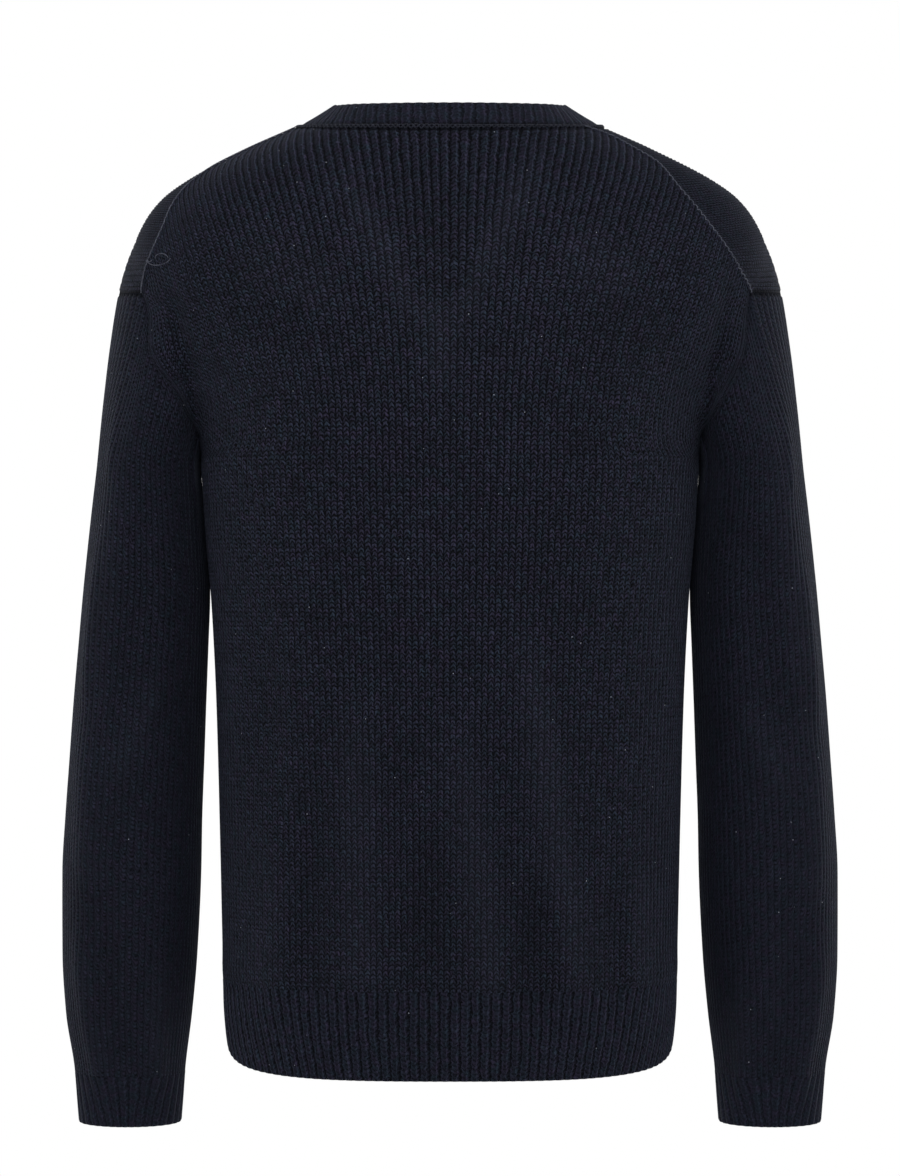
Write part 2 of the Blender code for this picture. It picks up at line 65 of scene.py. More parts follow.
LEFT, RIGHT = 1, -1
SIDE_NAMES = {LEFT: "left", RIGHT: "right"}
SPREAD_FROM = -0.25  # the wales lean outwards above this level
SPREAD = 9.5
ON_THE_RIDGE = 0.05  # a wale that ends within this angle of the top of the shoulder ends on it


def table(columns, *rows):
    """A table with named columns, as {name: array}."""
    return dict(zip(columns.split(), np.array(rows, float).T, strict=True))


TRUNK = table(
    "level half_width back front square",
    (0.0180, 0.0780, 0.0580, 0.0420, 2.10),
    (0.0113, 0.0880, 0.0635, 0.0480, 2.10),
    (0.0000, 0.1070, 0.0720, 0.0560, 2.10),
    (-0.0172, 0.1445, 0.0820, 0.0680, 2.15),
    (-0.0385, 0.1862, 0.0905, 0.0800, 2.20),
    (-0.0522, 0.2052, 0.0950, 0.0870, 2.22),
    (-0.0654, 0.2160, 0.0990, 0.0930, 2.25),
    (-0.0800, 0.2235, 0.1030, 0.1000, 2.30),
    (-0.1000, 0.2265, 0.1080, 0.1080, 2.35),
    (-0.1200, 0.2200, 0.1120, 0.1160, 2.40),
    (-0.1400, 0.2090, 0.1150, 0.1220, 2.45),
    (-0.1600, 0.1985, 0.1175, 0.1270, 2.50),
    (-0.1800, 0.1905, 0.1195, 0.1305, 2.50),
    (-0.2000, 0.1845, 0.1205, 0.1320, 2.50),
    (-0.2240, 0.1797, 0.1205, 0.1320, 2.50),
    (-0.2430, 0.1775, 0.1200, 0.1315, 2.50),
    (-0.2900, 0.1743, 0.1175, 0.1300, 2.50),
    (-0.3400, 0.1700, 0.1145, 0.1280, 2.50),
    (-0.4100, 0.1665, 0.1110, 0.1255, 2.50),
    (-0.5000, 0.1640, 0.1085, 0.1235, 2.50),
    (-0.5900, 0.1620, 0.1080, 0.1210, 2.50),
    (-0.6250, 0.1612, 0.1070, 0.1200, 2.50),
    (-0.6450, 0.1597, 0.1055, 0.1180, 2.50),
    (-0.6704, 0.1560, 0.1020, 0.1140, 2.50),
)
ARM = table(
    "level outer inner depth centre",
    (0.0180, 0.0780, 0.0500, 0.0000, 0.000),
    (0.0113, 0.0880, 0.0550, 0.0000, 0.000),
    (0.0000, 0.1070, 0.0600, 0.0000, 0.000),
    (-0.0172, 0.1445, 0.0800, 0.0010, 0.000),
    (-0.0385, 0.1862, 0.1000, 0.0180, 0.000),
    (-0.0522, 0.2052, 0.1090, 0.0310, 0.000),
    (-0.0654, 0.2160, 0.1170, 0.0410, 0.000),
    (-0.0800, 0.2235, 0.1235, 0.0480, 0.000),
    (-0.1000, 0.2315, 0.1310, 0.0535, 0.000),
    (-0.1200, 0.2368, 0.1370, 0.0575, -0.001),
    (-0.1600, 0.2432, 0.1470, 0.0640, -0.003),
    (-0.1970, 0.2479, 0.1600, 0.0665, -0.006),
    (-0.2240, 0.2508, 0.1737, 0.0675, -0.008),
    (-0.2430, 0.2528, 0.1781, 0.0675, -0.010),
    (-0.2700, 0.2562, 0.1766, 0.0670, -0.012),
    (-0.3000, 0.2598, 0.1747, 0.0660, -0.015),
    (-0.3310, 0.2632, 0.1727, 0.0645, -0.017),
    (-0.3725, 0.2670, 0.1741, 0.0625, -0.018),
    (-0.4130, 0.2705, 0.1756, 0.0610, -0.018),
    (-0.4530, 0.2733, 0.1769, 0.0585, -0.017),
    (-0.4930, 0.2761, 0.1783, 0.0562, -0.016),
    (-0.5330, 0.2784, 0.1791, 0.0540, -0.017),
    (-0.5930, 0.2787, 0.1822, 0.0510, -0.021),
    (-0.6350, 0.2767, 0.1862, 0.0465, -0.026),
    (-0.6762, 0.2708, 0.1914, 0.0390, -0.030),
    (-0.6970, 0.2694, 0.1930, 0.0355, -0.032),
    (-0.7155, 0.2680, 0.1945, 0.0340, -0.033),
)
BACK_SEAM = table(
    "level left right",
    (0.0000, 0.1005, 0.0850),
    (-0.0053, 0.1125, 0.0949),
    (-0.0105, 0.1245, 0.1108),
    (-0.0208, 0.1480, 0.1294),
    (-0.0317, 0.1680, 0.1460),
    (-0.0483, 0.1872, 0.1589),
    (-0.0629, 0.1964, 0.1710),
    (-0.0756, 0.2010, 0.1808),
    (-0.0924, 0.2082, 0.1934),
    (-0.1075, 0.2140, 0.2028),
    (-0.1225, 0.2165, 0.2105),
    (-0.1380, 0.2120, 0.2090),
    (-0.1600, 0.2122, 0.2071),
    (-0.1750, 0.2063, 0.2025),
    (-0.1856, 0.1977, 0.1982),
    (-0.1985, 0.1895, 0.1906),
    (-0.2120, 0.1825, 0.1830),
    (-0.2250, 0.1767, 0.1767),
)
SEAM_HIDDEN_BELOW = -0.2250

# Soft ridges (positive height) and troughs of the cloth on the back, as lines from top to end
BACK_FOLDS = table(
    "top_x top_z end_x end_z width height",
    (0.086, -0.025, 0.009, -0.168, 0.011, 0.0028),
    (-0.068, -0.015, 0.004, -0.168, 0.011, 0.0030),
    (0.009, -0.120, 0.006, -0.200, 0.010, 0.0026),
    (0.006, -0.030, 0.007, -0.140, 0.020, -0.0022),
    (0.155, -0.135, 0.085, -0.165, 0.014, -0.0022),
    (0.150, -0.100, 0.070, -0.135, 0.022, 0.0018),
    (-0.070, -0.085, -0.130, -0.130, 0.022, 0.0020),
    (-0.110, -0.155, -0.165, -0.150, 0.016, -0.0018),
    (-0.045, -0.320, -0.094, -0.650, 0.012, 0.0034),
    (-0.056, -0.520, -0.058, -0.650, 0.014, -0.0052),
    (0.000, -0.400, -0.036, -0.650, 0.013, 0.0031),
    (0.018, -0.480, 0.013, -0.650, 0.011, -0.0040),
    (0.064, -0.370, 0.060, -0.650, 0.014, 0.0025),
    (0.096, -0.440, 0.094, -0.640, 0.012, -0.0030),
    (0.126, -0.480, 0.124, -0.650, 0.012, 0.0019),
    (0.132, -0.330, 0.128, -0.480, 0.014, -0.0028),
    (-0.128, -0.500, -0.132, -0.630, 0.010, 0.0015),
    (-0.110, -0.520, -0.116, -0.640, 0.010, -0.0022),
)
BLOUSE = table("level width height", (-0.598, 0.009, 0.0012), (-0.613, 0.005, -0.0003))
# Where arm and trunk fold against each other above the underarm, on both sides, back and front
ARM_CREASES = table(
    "top_x top_z end_x end_z width height",
    (0.2000, -0.1080, 0.1795, -0.1900, 0.0060, -0.0030),
    (0.1850, -0.1600, 0.1785, -0.2460, 0.0050, -0.0024),
)
RIDGE_PAINTED_LIGHT = 20.0  # painted highlight: how much paler a fold's ridge is painted, for each metre of height
TROUGH_PAINTED_SHADE = 50.0  # and painted shade: how much darker a fold's trough is painted


def read(source, column, level):
    """A column of a table at any level, on a smooth curve that never overshoots its rows."""
    knots, values = source["level"][::-1], source[column][::-1]
    level = np.clip(level, knots[0], knots[-1])
    steps = np.diff(knots)
    secants = np.diff(values) / steps
    before, after = secants[:-1], secants[1:]
    product = before * after
    total = np.where(np.abs(before + after) > 0, before + after, 1.0)
    middle = np.where(product > 0, 2 * product / total, 0.0)
    slopes = np.concatenate([secants[:1], middle, secants[-1:]])
    i = np.clip(np.searchsorted(knots, level, side="right") - 1, 0, len(steps) - 1)
    t = (level - knots[i]) / steps[i]
    start, end = values[i], values[i + 1]
    bend_start, bend_end = slopes[i] * steps[i], slopes[i + 1] * steps[i]
    smooth = t * t * (3 - 2 * t)
    return start + (end - start) * smooth + t * (1 - t) * (bend_start * (1 - t) - bend_end * t)


def smoothstep(t):
    t = np.clip(t, 0, 1)
    return t * t * (3 - 2 * t)


def trunk_width(level):
    return np.minimum(read(TRUNK, "half_width", level), read(ARM, "outer", level))


def trunk_depth(angle, level):
    return np.where(angle > 0, read(TRUNK, "back", level), read(TRUNK, "front", level))


def trunk_point(angle, level):
    """A place on the trunk below the arms: 0 degrees is the side seam, 90 the middle back."""
    angle, level = np.broadcast_arrays(np.asarray(angle, float), np.asarray(level, float))
    curve = 2 / read(TRUNK, "square", level)
    cos, sin = np.cos(angle), np.sin(angle)
    x = trunk_width(level) * np.sign(cos) * np.abs(cos) ** curve
    y = trunk_depth(angle, level) * np.sign(sin) * np.abs(sin) ** curve
    return np.stack([x, y, level], axis=-1)


def arm_section(level):
    outer, inner = read(ARM, "outer", level), read(ARM, "inner", level)
    return (outer + inner) / 2, (outer - inner) / 2


def arm_point(turn, level):
    """A place on a sleeve: 0 turns is its outermost line, a quarter turn its back."""
    turn, level = np.broadcast_arrays(np.asarray(turn, float), np.asarray(level, float))
    centre, radius = arm_section(level)
    y = read(ARM, "centre", level) + read(ARM, "depth", level) * np.sin(turn)
    return np.stack([centre + radius * np.cos(turn), y, level], axis=-1)


def shoulder_point(angle, level):
    """A place above the underarm, where trunk and arm run together with a soft fold between."""
    angle, level = np.broadcast_arrays(np.asarray(angle, float), np.asarray(level, float))
    x = read(ARM, "outer", level) * np.cos(angle)
    square = read(TRUNK, "square", level)
    inside = np.clip(1 - (np.abs(x) / trunk_width(level)) ** square, 0, None)
    trunk = trunk_depth(angle, level) * inside ** (1 / square)
    centre, radius = arm_section(level)
    round_arm = np.clip(1 - ((np.abs(x) - centre) / radius) ** 2, 0, None)
    arm = read(ARM, "depth", level) * np.sqrt(round_arm)
    y = (trunk**BLEND + arm**BLEND) ** (1 / BLEND)
    return np.stack([x, np.sign(angle) * y, level], axis=-1)


def outward(form, angle, level, step=2e-3):
    """The direction out of the cloth at places on a form, from the form on either side."""
    across = form(angle + step, level) - form(angle - step, level)
    up = form(angle, level + step) - form(angle, level - step)
    normal = np.cross(across, up)
    length = np.linalg.norm(normal, axis=-1, keepdims=True)
    return normal / np.maximum(length, 1e-12)


def angle_at(x, level):
    return np.arccos(np.clip(x / read(ARM, "outer", level), -1, 1))


def turn_at(angle, level):
    """The turn round the arm of a place given by its angle."""
    centre, radius = arm_section(level)
    x = read(ARM, "outer", level) * np.cos(angle)
    return np.sign(angle) * np.arccos(np.clip((x - centre) / radius, -1, 1))


def lengths_along(points):
    steps = np.linalg.norm(np.diff(points, axis=0), axis=-1)
    return np.concatenate([np.zeros_like(steps[:1]), np.cumsum(steps, axis=0)])


def walk(path, count, *others):
    """count + 1 evenly spaced places on a path, and those of paths that keep pace with it."""
    along = lengths_along(shoulder_point(path[:, 0], path[:, 1]))
    wanted = np.linspace(0, along[-1], count + 1)
    walked = [
        np.stack([np.interp(wanted, along, each[:, k]) for k in (0, 1)], axis=1)
        for each in (path, *others)
    ]
    return walked if others else walked[0]


FINE_ANGLES = np.linspace(np.pi / 2, 0, 1501)
FINE_LEVELS = np.linspace(UNDERARM, TRUNK["level"][0], 150)


def section_lengths(face):
    """How much cloth lies between the middle and each fine angle, at each fine level."""
    points = shoulder_point(face * FINE_ANGLES[None, :-1], FINE_LEVELS[:, None])
    ridge = points[:, -1:] * (1, 0, 1)
    return lengths_along(np.concatenate([points, ridge], axis=1).swapaxes(0, 1)).T


SECTIONS = {face: section_lengths(face) for face in (1, -1)}


def section_at(face, level):
    i = np.interp(level, FINE_LEVELS, np.arange(len(FINE_LEVELS)))
    below = min(int(i), len(FINE_LEVELS) - 2)
    return SECTIONS[face][below] * (below + 1 - i) + SECTIONS[face][below + 1] * (i - below)


def unroll(face, places):
    """The length of cloth from the middle to places given by angle and level."""
    pairs = zip(-face * places[:, 0], places[:, 1], strict=True)
    return np.array([np.interp(a, -FINE_ANGLES, section_at(face, z)) for a, z in pairs])


def roll_up(face, lengths, levels):
    """The other way, for a whole grid."""
    angles = np.empty(lengths.size)
    for i, (s, z) in enumerate(zip(lengths.flat, levels.flat, strict=True)):
        angles[i] = np.interp(s, section_at(face, z), FINE_ANGLES)
    return face * angles.reshape(lengths.shape)


def ring_angles(face, level, columns):
    """Angles on the trunk at one level, evenly spaced in cloth from the middle to the side."""
    dense = face * np.linspace(np.pi / 2, 0, 601)
    along = lengths_along(trunk_point(dense, level))
    return np.interp(np.linspace(0, along[-1], columns + 1), along, dense)


def seam_places(seam, column, start, end):
    levels = np.linspace(start, end, 801)
    return np.stack([angle_at(read(seam, column, levels), levels), levels], axis=1)


def neck_level(angle):
    return -BACK_NECK_DIP * np.sin(np.maximum(angle, 0))


def fold_under_arm(end):
    """From the underarm to the place where the armhole seam comes out of the fold."""
    end_turn = turn_at(*end)
    turn = np.linspace(np.pi, end_turn, 81)[:-1]
    lift = (1 + np.cos(turn)) / (1 + np.cos(end_turn))
    levels = UNDERARM + (end[1] - UNDERARM) * lift
    return np.stack([angle_at(arm_point(turn, levels)[:, 0], levels), levels], axis=1)


def armhole_back(side):
    seen = seam_places(BACK_SEAM, SIDE_NAMES[side], SEAM_HIDDEN_BELOW, SHOULDER_CORNER)
    return np.concatenate([fold_under_arm(seen[0]), seen])


def shoulder_seam(side):
    """From the neck to the end of the shoulder, on the back."""
    places = seam_places(BACK_SEAM, SIDE_NAMES[side], 0, SHOULDER_CORNER)
    return places[places[:, 1] < neck_level(places[:, 0])]


def armhole_out(points, directions, places):
    """Directions out of the armhole: in the fold under the arm they point out of the fold."""
    along = np.gradient(points, axis=0)
    out_of_fold = np.cross(along, (1, 0, 0))
    out_of_fold /= np.linalg.norm(out_of_fold, axis=1, keepdims=True)
    facing = np.sign((out_of_fold * directions).sum(axis=1).mean())
    turn = np.abs(turn_at(places[:, 0], places[:, 1]))
    hidden = smoothstep((turn / np.radians(105) - 1) / 0.4)[:, None]
    mixed = directions + (facing * out_of_fold - directions) * hidden
    return mixed / np.linalg.norm(mixed, axis=1, keepdims=True)


def wale_lengths(underarm, armhole, levels, end):
    """Where a panel's wales lie above the underarm, as lengths of cloth from the middle."""
    share = underarm / underarm[-1]
    armhole_lengths, armhole_levels = armhole
    pull = np.interp(np.minimum(levels, end), armhole_levels, armhole_lengths) - underarm[-1]
    spread = SPREAD * np.clip(levels - SPREAD_FROM, 0, None) ** 2
    return underarm + pull * share**3 + underarm * spread * (1 - share**4)


def seam_shares(length, rows, close):
    """Shares of a column's length, with rows closer together at its upper end."""
    even = np.linspace(0, 1 - close[-1] / length, rows - len(close) + 1)
    return np.concatenate([even, 1 - np.array(close[-2::-1]) / length, [1]])


def fold_height(folds, x, z):
    """Height of the cloth's folds at places on a panel."""
    total = np.zeros_like(x)
    for top_x, top_z, end_x, end_z, width, height in zip(*folds.values(), strict=True):
        run = np.array([end_x - top_x, end_z - top_z])
        length = np.hypot(*run)
        along = ((x - top_x) * run[0] + (z - top_z) * run[1]) / length**2
        off = ((x - top_x) * run[1] - (z - top_z) * run[0]) / length
        fade = smoothstep(along / 0.35) * smoothstep((1 - along) / 0.25)
        total += height * np.exp(-((off / width) ** 2)) * fade
    return total


def trunk_folds(points, folds):
    """Folds on the back or the front, which die out towards the side seams."""
    x, y, z = np.moveaxis(points, -1, 0)
    return fold_height(folds, x, z) * smoothstep(np.abs(y) / 0.04) + arm_creases(points)


def blousing(points):
    """The panels swell just above the hem rib, which draws them in."""
    height = np.zeros(points.shape[:-1])
    for level, width, rise in zip(*BLOUSE.values(), strict=True):
        height += rise * np.exp(-(((points[..., 2] - level) / width) ** 2))
    return height * smoothstep(np.abs(points[..., 1]) / 0.04)


def arm_creases(points):
    return fold_height(ARM_CREASES, np.abs(points[..., 0]), points[..., 2])


def fold_painted_light_and_shade(folds):
    # Painted light and shade of the folds: ridges painted paler, troughs painted darker.
    return RIDGE_PAINTED_LIGHT * np.maximum(folds, 0) + TROUGH_PAINTED_SHADE * np.minimum(folds, 0)


def wale_relief(wales, levels):
    """Height of plain knit across its wales: rounded, with a groove on either side."""
    drawn = smoothstep((levels - DRAWN_FROM) / (DRAWN_TO - DRAWN_FROM))
    depth = WALE_DEPTH + (DRAWN_DEPTH - WALE_DEPTH) * drawn
    return depth * (1 - 2 * np.abs(np.cos(np.pi * wales)) ** 4)


def courses(points):
    return lengths_along(points) / COURSE


def mirrored(side, cloth):
    flip = np.array([side, 1, 1])
    points, directions, wales, rows = cloth
    return points * flip, directions * flip, wales * side, rows


def whole(left, right):
    return tuple(
        np.concatenate([a[:, ::-1], b[:, 1:]], axis=1) for a, b in zip(left, right, strict=True)
    )


# How a seam marks the cloth: on which distance from it, how wide, how high and how pale
RAISED = dict(distance=0.0, width=0.0012, height=0.0008, tone=0.16)
SEWN = dict(distance=0.0, width=0.0016, height=-0.0008, tone=-0.35)
LINKED = dict(distance=0.0024, width=0.0013, height=-0.0009, tone=-1.0)
OVERLOCKED = dict(distance=0.0011, width=0.0009, height=-0.0009, tone=-1.0)
GROOVED = dict(distance=0.0, width=0.0018, height=-0.0012, tone=-0.7)


def seam_marks(points, *marks):
    """Height and tone of the ridges and grooves that seams leave, as (seams, mark) pairs."""
    height, tone = np.zeros(points.shape[:-1]), np.zeros(points.shape[:-1])
    for seams, mark in marks:
        tree = kdtree.KDTree(sum(len(seam) for seam in seams))
        for i, place in enumerate(np.concatenate(seams)):
            tree.insert(Vector(place), i)
        tree.balance()
        away = np.array([tree.find(Vector(place))[2] for place in points.reshape(-1, 3)])
        off = (away.reshape(points.shape[:-1]) - mark["distance"]) / mark["width"]
        height += mark["height"] * np.exp(-(off**2))
        tone += mark["tone"] * np.exp(-(off**2))
    return height, tone


def knit_piece(name, materials, *cloths):
    """A closed wall of cloth from grids of outer and inner places, wales, courses and tones."""
    bm = bmesh.new()
    inner = bm.verts.layers.float_vector.new("inner")
    stitch = bm.verts.layers.float_vector.new("stitch")
    # seam holds the tones of the seam marks and the painted light and shade of the folds and shoulder
    # caps
    seam = bm.verts.layers.float.new("seam")
    uv = bm.loops.layers.uv.new("knit")
    for points, under, wales, rows, tones in cloths:
        height, width = points.shape[:2]
        grid = bmesh.ops.create_grid(bm, x_segments=width - 1, y_segments=height - 1, size=1)
        counts = np.stack([wales, rows, tones], axis=-1).reshape(-1, 3)
        flat = zip(points.reshape(-1, 3), under.reshape(-1, 3), counts, strict=True)
        for vert, (place, inside, count) in zip(grid["verts"], flat, strict=True):
            vert.co = place
            vert[inner] = inside
            vert[stitch] = count
            vert[seam] = count[2]
    for face in bm.faces:
        for loop in face.loops:
            loop[uv].uv = loop.vert[stitch].xy
    bmesh.ops.remove_doubles(bm, verts=bm.verts, dist=1e-5)
    bmesh.ops.recalc_face_normals(bm, faces=bm.faces)
    outwards = sum(face.normal.dot(face.verts[0].co - face.verts[0][inner]) for face in bm.faces)
    if outwards < 0:
        bmesh.ops.reverse_faces(bm, faces=bm.faces)
    inwards = {}
    for edge in bm.edges:
        if edge.is_boundary:
            loop = edge.link_loops[0]
            along = loop.link_loop_next.vert.co - loop.vert.co
            for vert in edge.verts:
                away = (vert.co - vert[inner]).cross(along).normalized()
                inwards.setdefault(vert, []).append(away)
    for vert, aways in inwards.items():
        a, b = aways[0], aways[-1]
        move = (a + b) * SEAM_GAP / 2 / max(1 + a.dot(b), SHARPEST_CORNER)
        vert[inner] = vert[inner] + move
        vert.co += move
    extruded = bmesh.ops.extrude_face_region(bm, geom=bm.faces[:])
    for item in extruded["geom"]:
        if isinstance(item, bmesh.types.BMVert):
            item.co = item[inner]
        elif isinstance(item, bmesh.types.BMFace):
            item.material_index = len(materials) - 1
    bmesh.ops.remove_doubles(bm, verts=bm.verts, dist=1e-6)
    bmesh.ops.recalc_face_normals(bm, faces=bm.faces)
    mesh = bpy.data.meshes.new(name)
    bm.verts.layers.float_vector.remove(inner)
    bm.verts.layers.float_vector.remove(bm.verts.layers.float_vector["stitch"])
    bm.to_mesh(mesh)
    bm.free()
    mesh.shade_smooth()
    mesh.set_sharp_from_angle(angle=SHARP_EDGE)
    for material in materials:
        mesh.materials.append(material)
    piece = bpy.data.objects.new(name, mesh)
    bpy.context.scene.collection.objects.link(piece)
    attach(piece, "root")
    return piece


def with_wall(cloth, relief, tones):
    """Move the outer face of a cloth by its relief, and give it its inner face."""
    points, directions, wales, rows = cloth
    outer = points + directions * relief[..., None]
    return outer, outer - directions * CLOTH, wales, rows, tones


def panel_half(face, side, wales, armhole, end, top_levels):
    """Half of a panel with a column of places for every quarter of a wale."""
    columns = wales * COLUMNS_PER_WALE
    share = np.linspace(0, 1, columns + 1)
    levels = np.linspace(HEM_JOIN, UNDERARM, TRUNK_ROWS + 1)
    angles = np.array([ring_angles(face, level, columns) for level in levels])
    trunk_levels = np.broadcast_to(levels[:, None], angles.shape)
    trunk = trunk_point(angles, trunk_levels)
    trunk_out = outward(trunk_point, angles, trunk_levels)

    at_underarm = face * angle_at(trunk[-1, :, 0], UNDERARM)
    underarm = unroll(face, np.stack([at_underarm, np.full(columns + 1, UNDERARM)], axis=1))
    edge = unroll(face, armhole), armhole[:, 1]
    tops = top_levels(underarm, edge)
    rows = np.array([seam_shares(top - UNDERARM, YOKE_ROWS, SEAM_ROWS) for top in tops]).T
    yoke_levels = UNDERARM + (tops - UNDERARM) * rows
    yoke_lengths = wale_lengths(underarm, edge, yoke_levels, end)
    yoke_angles = roll_up(face, yoke_lengths, yoke_levels)
    yoke_angles[-1, np.abs(yoke_angles[-1]) < ON_THE_RIDGE] = 0
    yoke = shoulder_point(yoke_angles, yoke_levels)
    yoke_out = outward(shoulder_point, yoke_angles, yoke_levels)
    last = np.stack([yoke_angles[:, -1], yoke_levels[:, -1]], axis=1)
    edge_out = armhole_out(yoke[:, -1], yoke_out[:, -1], last)
    near = smoothstep((share - 0.92) / 0.08)[None, :, None]
    yoke_out = yoke_out + (edge_out[:, None] - yoke_out) * near
    yoke_out /= np.linalg.norm(yoke_out, axis=-1, keepdims=True)

    points = np.concatenate([trunk, yoke[1:]])
    directions = np.concatenate([trunk_out, yoke_out[1:]])
    counts = np.broadcast_to(face * share * wales, points.shape[:2])
    return mirrored(side, (points, directions, counts, courses(points)))


def back_tops(side):
    """The level at which each wale of the back ends: at the neck or at the shoulder seam."""

    def top_levels(underarm, edge):
        levels = np.linspace(SHOULDER_CORNER, 0, 400)
        seam = seam_places(BACK_SEAM, SIDE_NAMES[side], SHOULDER_CORNER, 0)
        seam_lengths = np.interp(levels, seam[:, 1], unroll(1, seam))
        tops = []
        for i in range(len(underarm)):
            lengths = [wale_lengths(underarm, edge, z, SHOULDER_CORNER)[i] for z in levels[::8]]
            lengths = np.interp(levels, levels[::8], lengths)
            at_seam = np.interp(0, lengths - seam_lengths, levels)
            neck = np.interp(lengths, section_at(1, -0.004), FINE_ANGLES)
            at_neck = np.interp(0, levels - neck_level(neck), levels)
            tops.append(min(at_seam, at_neck))
        tops[-1] = SHOULDER_CORNER
        return np.array(tops)

    return top_levels


def seam_line(side, places):
    points = shoulder_point(places[:, 0], places[:, 1])
    return points * (side, 1, 1)


def side_seam(side):
    levels = np.linspace(HEM_EDGE, UNDERARM, 400)
    return trunk_point(0 * levels, levels) * (side, 1, 1)


# Plain knit: columns of V-shaped stitches. The pattern reads the wale and the course of a place
# from the cloth's own "knit" map, so it follows the cloth round the body.
# The stitch tone is painted light and shade: light on the crown of each leg, shade in the gaps between
# stitches and at the edges of the wales.
VIOLET_NAVY = (0.0255, 0.0225, 0.0440, 1)
TEAL_NAVY = (0.0175, 0.0260, 0.0410, 1)
# darkest navy: of dark seam lines, and of the painted shade in stitch gaps, fold troughs and shoulder
# caps
DEEP_NAVY = (0.0010, 0.0012, 0.0020, 1)
# pale yarn drawn along a raised seam, and the painted highlight on fold ridges
PALE_SEAM_AND_HIGHLIGHT_NAVY = (0.042, 0.046, 0.066, 1)
LINT = (0.2, 0.21, 0.24, 1)
YARN_RELIEF = 0.0009
SHEEN = 0.05
SHINE = 0.06
WANDER = (0.3, 0.5, 0.0)  # how far stitches stray over a centimetre, in wales and courses
FIDGET = (0.5, 1.0, 0.0)  # and from one to the next
ARCH = 0.85  # courses that a stitch's legs climb from the edge of its wale to its middle
PAINTED_LEG_SHADE = 0.7  # painted shade: a stitch's left leg is painted with only this much of the light of its right leg
BASE_TONE = 0.24
STITCH_LIGHT = 0.84
SPLIT = 0.2  # how much light is left between a stitch's two legs
# painted shade in the gaps between stitches
STITCH_GAP_SHADE = 0.5
FUZZ = 0.75
CALM_FROM, CALM_TO = -0.32, -0.52  # levels between which the stitches grow less marked
CALM = 0.75


class Nodes:
    """Short calls for adding shader nodes to a tree."""

    def __init__(self, tree):
        self.tree = tree

    def add(self, kind, inputs=(), **settings):
        node = self.tree.nodes.new(kind)
        for name, value in settings.items():
            setattr(node, name, value)
        for slot, value in dict(inputs).items():
            if isinstance(value, bpy.types.NodeSocket):
                self.tree.links.new(value, node.inputs[slot])
            else:
                node.inputs[slot].default_value = value
        return node

    def math(self, operation, *values):
        return self.add("ShaderNodeMath", enumerate(values), operation=operation).outputs[0]

    def vector(self, operation, *values):
        return self.add("ShaderNodeVectorMath", enumerate(values), operation=operation).outputs[0]

    def clamp(self, value):
        return self.add("ShaderNodeClamp", {0: value}).outputs[0]

    def blend(self, share, a, b):
        """A number between a and b."""
        return self.math("ADD", self.math("MULTIPLY", a, self.math("SUBTRACT", 1.0, share)),
                         self.math("MULTIPLY", b, share))

    def mix(self, share, a, b):
        inputs = {0: share, 6: a, 7: b}
        return self.add("ShaderNodeMix", inputs, data_type="RGBA").outputs[2]

    def noise(self, place, scale, detail):
        inputs = {"Vector": place, "Scale": scale, "Detail": detail}
        return self.add("ShaderNodeTexNoise", inputs).outputs


def new_group(name, inputs, outputs):
    """An empty shader node group with float or vector sockets."""
    group = bpy.data.node_groups.new(name, "ShaderNodeTree")
    for socket, kind in inputs.items():
        group.interface.new_socket(socket, in_out="INPUT", socket_type="NodeSocket" + kind)
    for socket, kind in outputs.items():
        group.interface.new_socket(socket, in_out="OUTPUT", socket_type="NodeSocket" + kind)
    nodes = Nodes(group)
    return group, nodes, nodes.add("NodeGroupInput"), nodes.add("NodeGroupOutput")


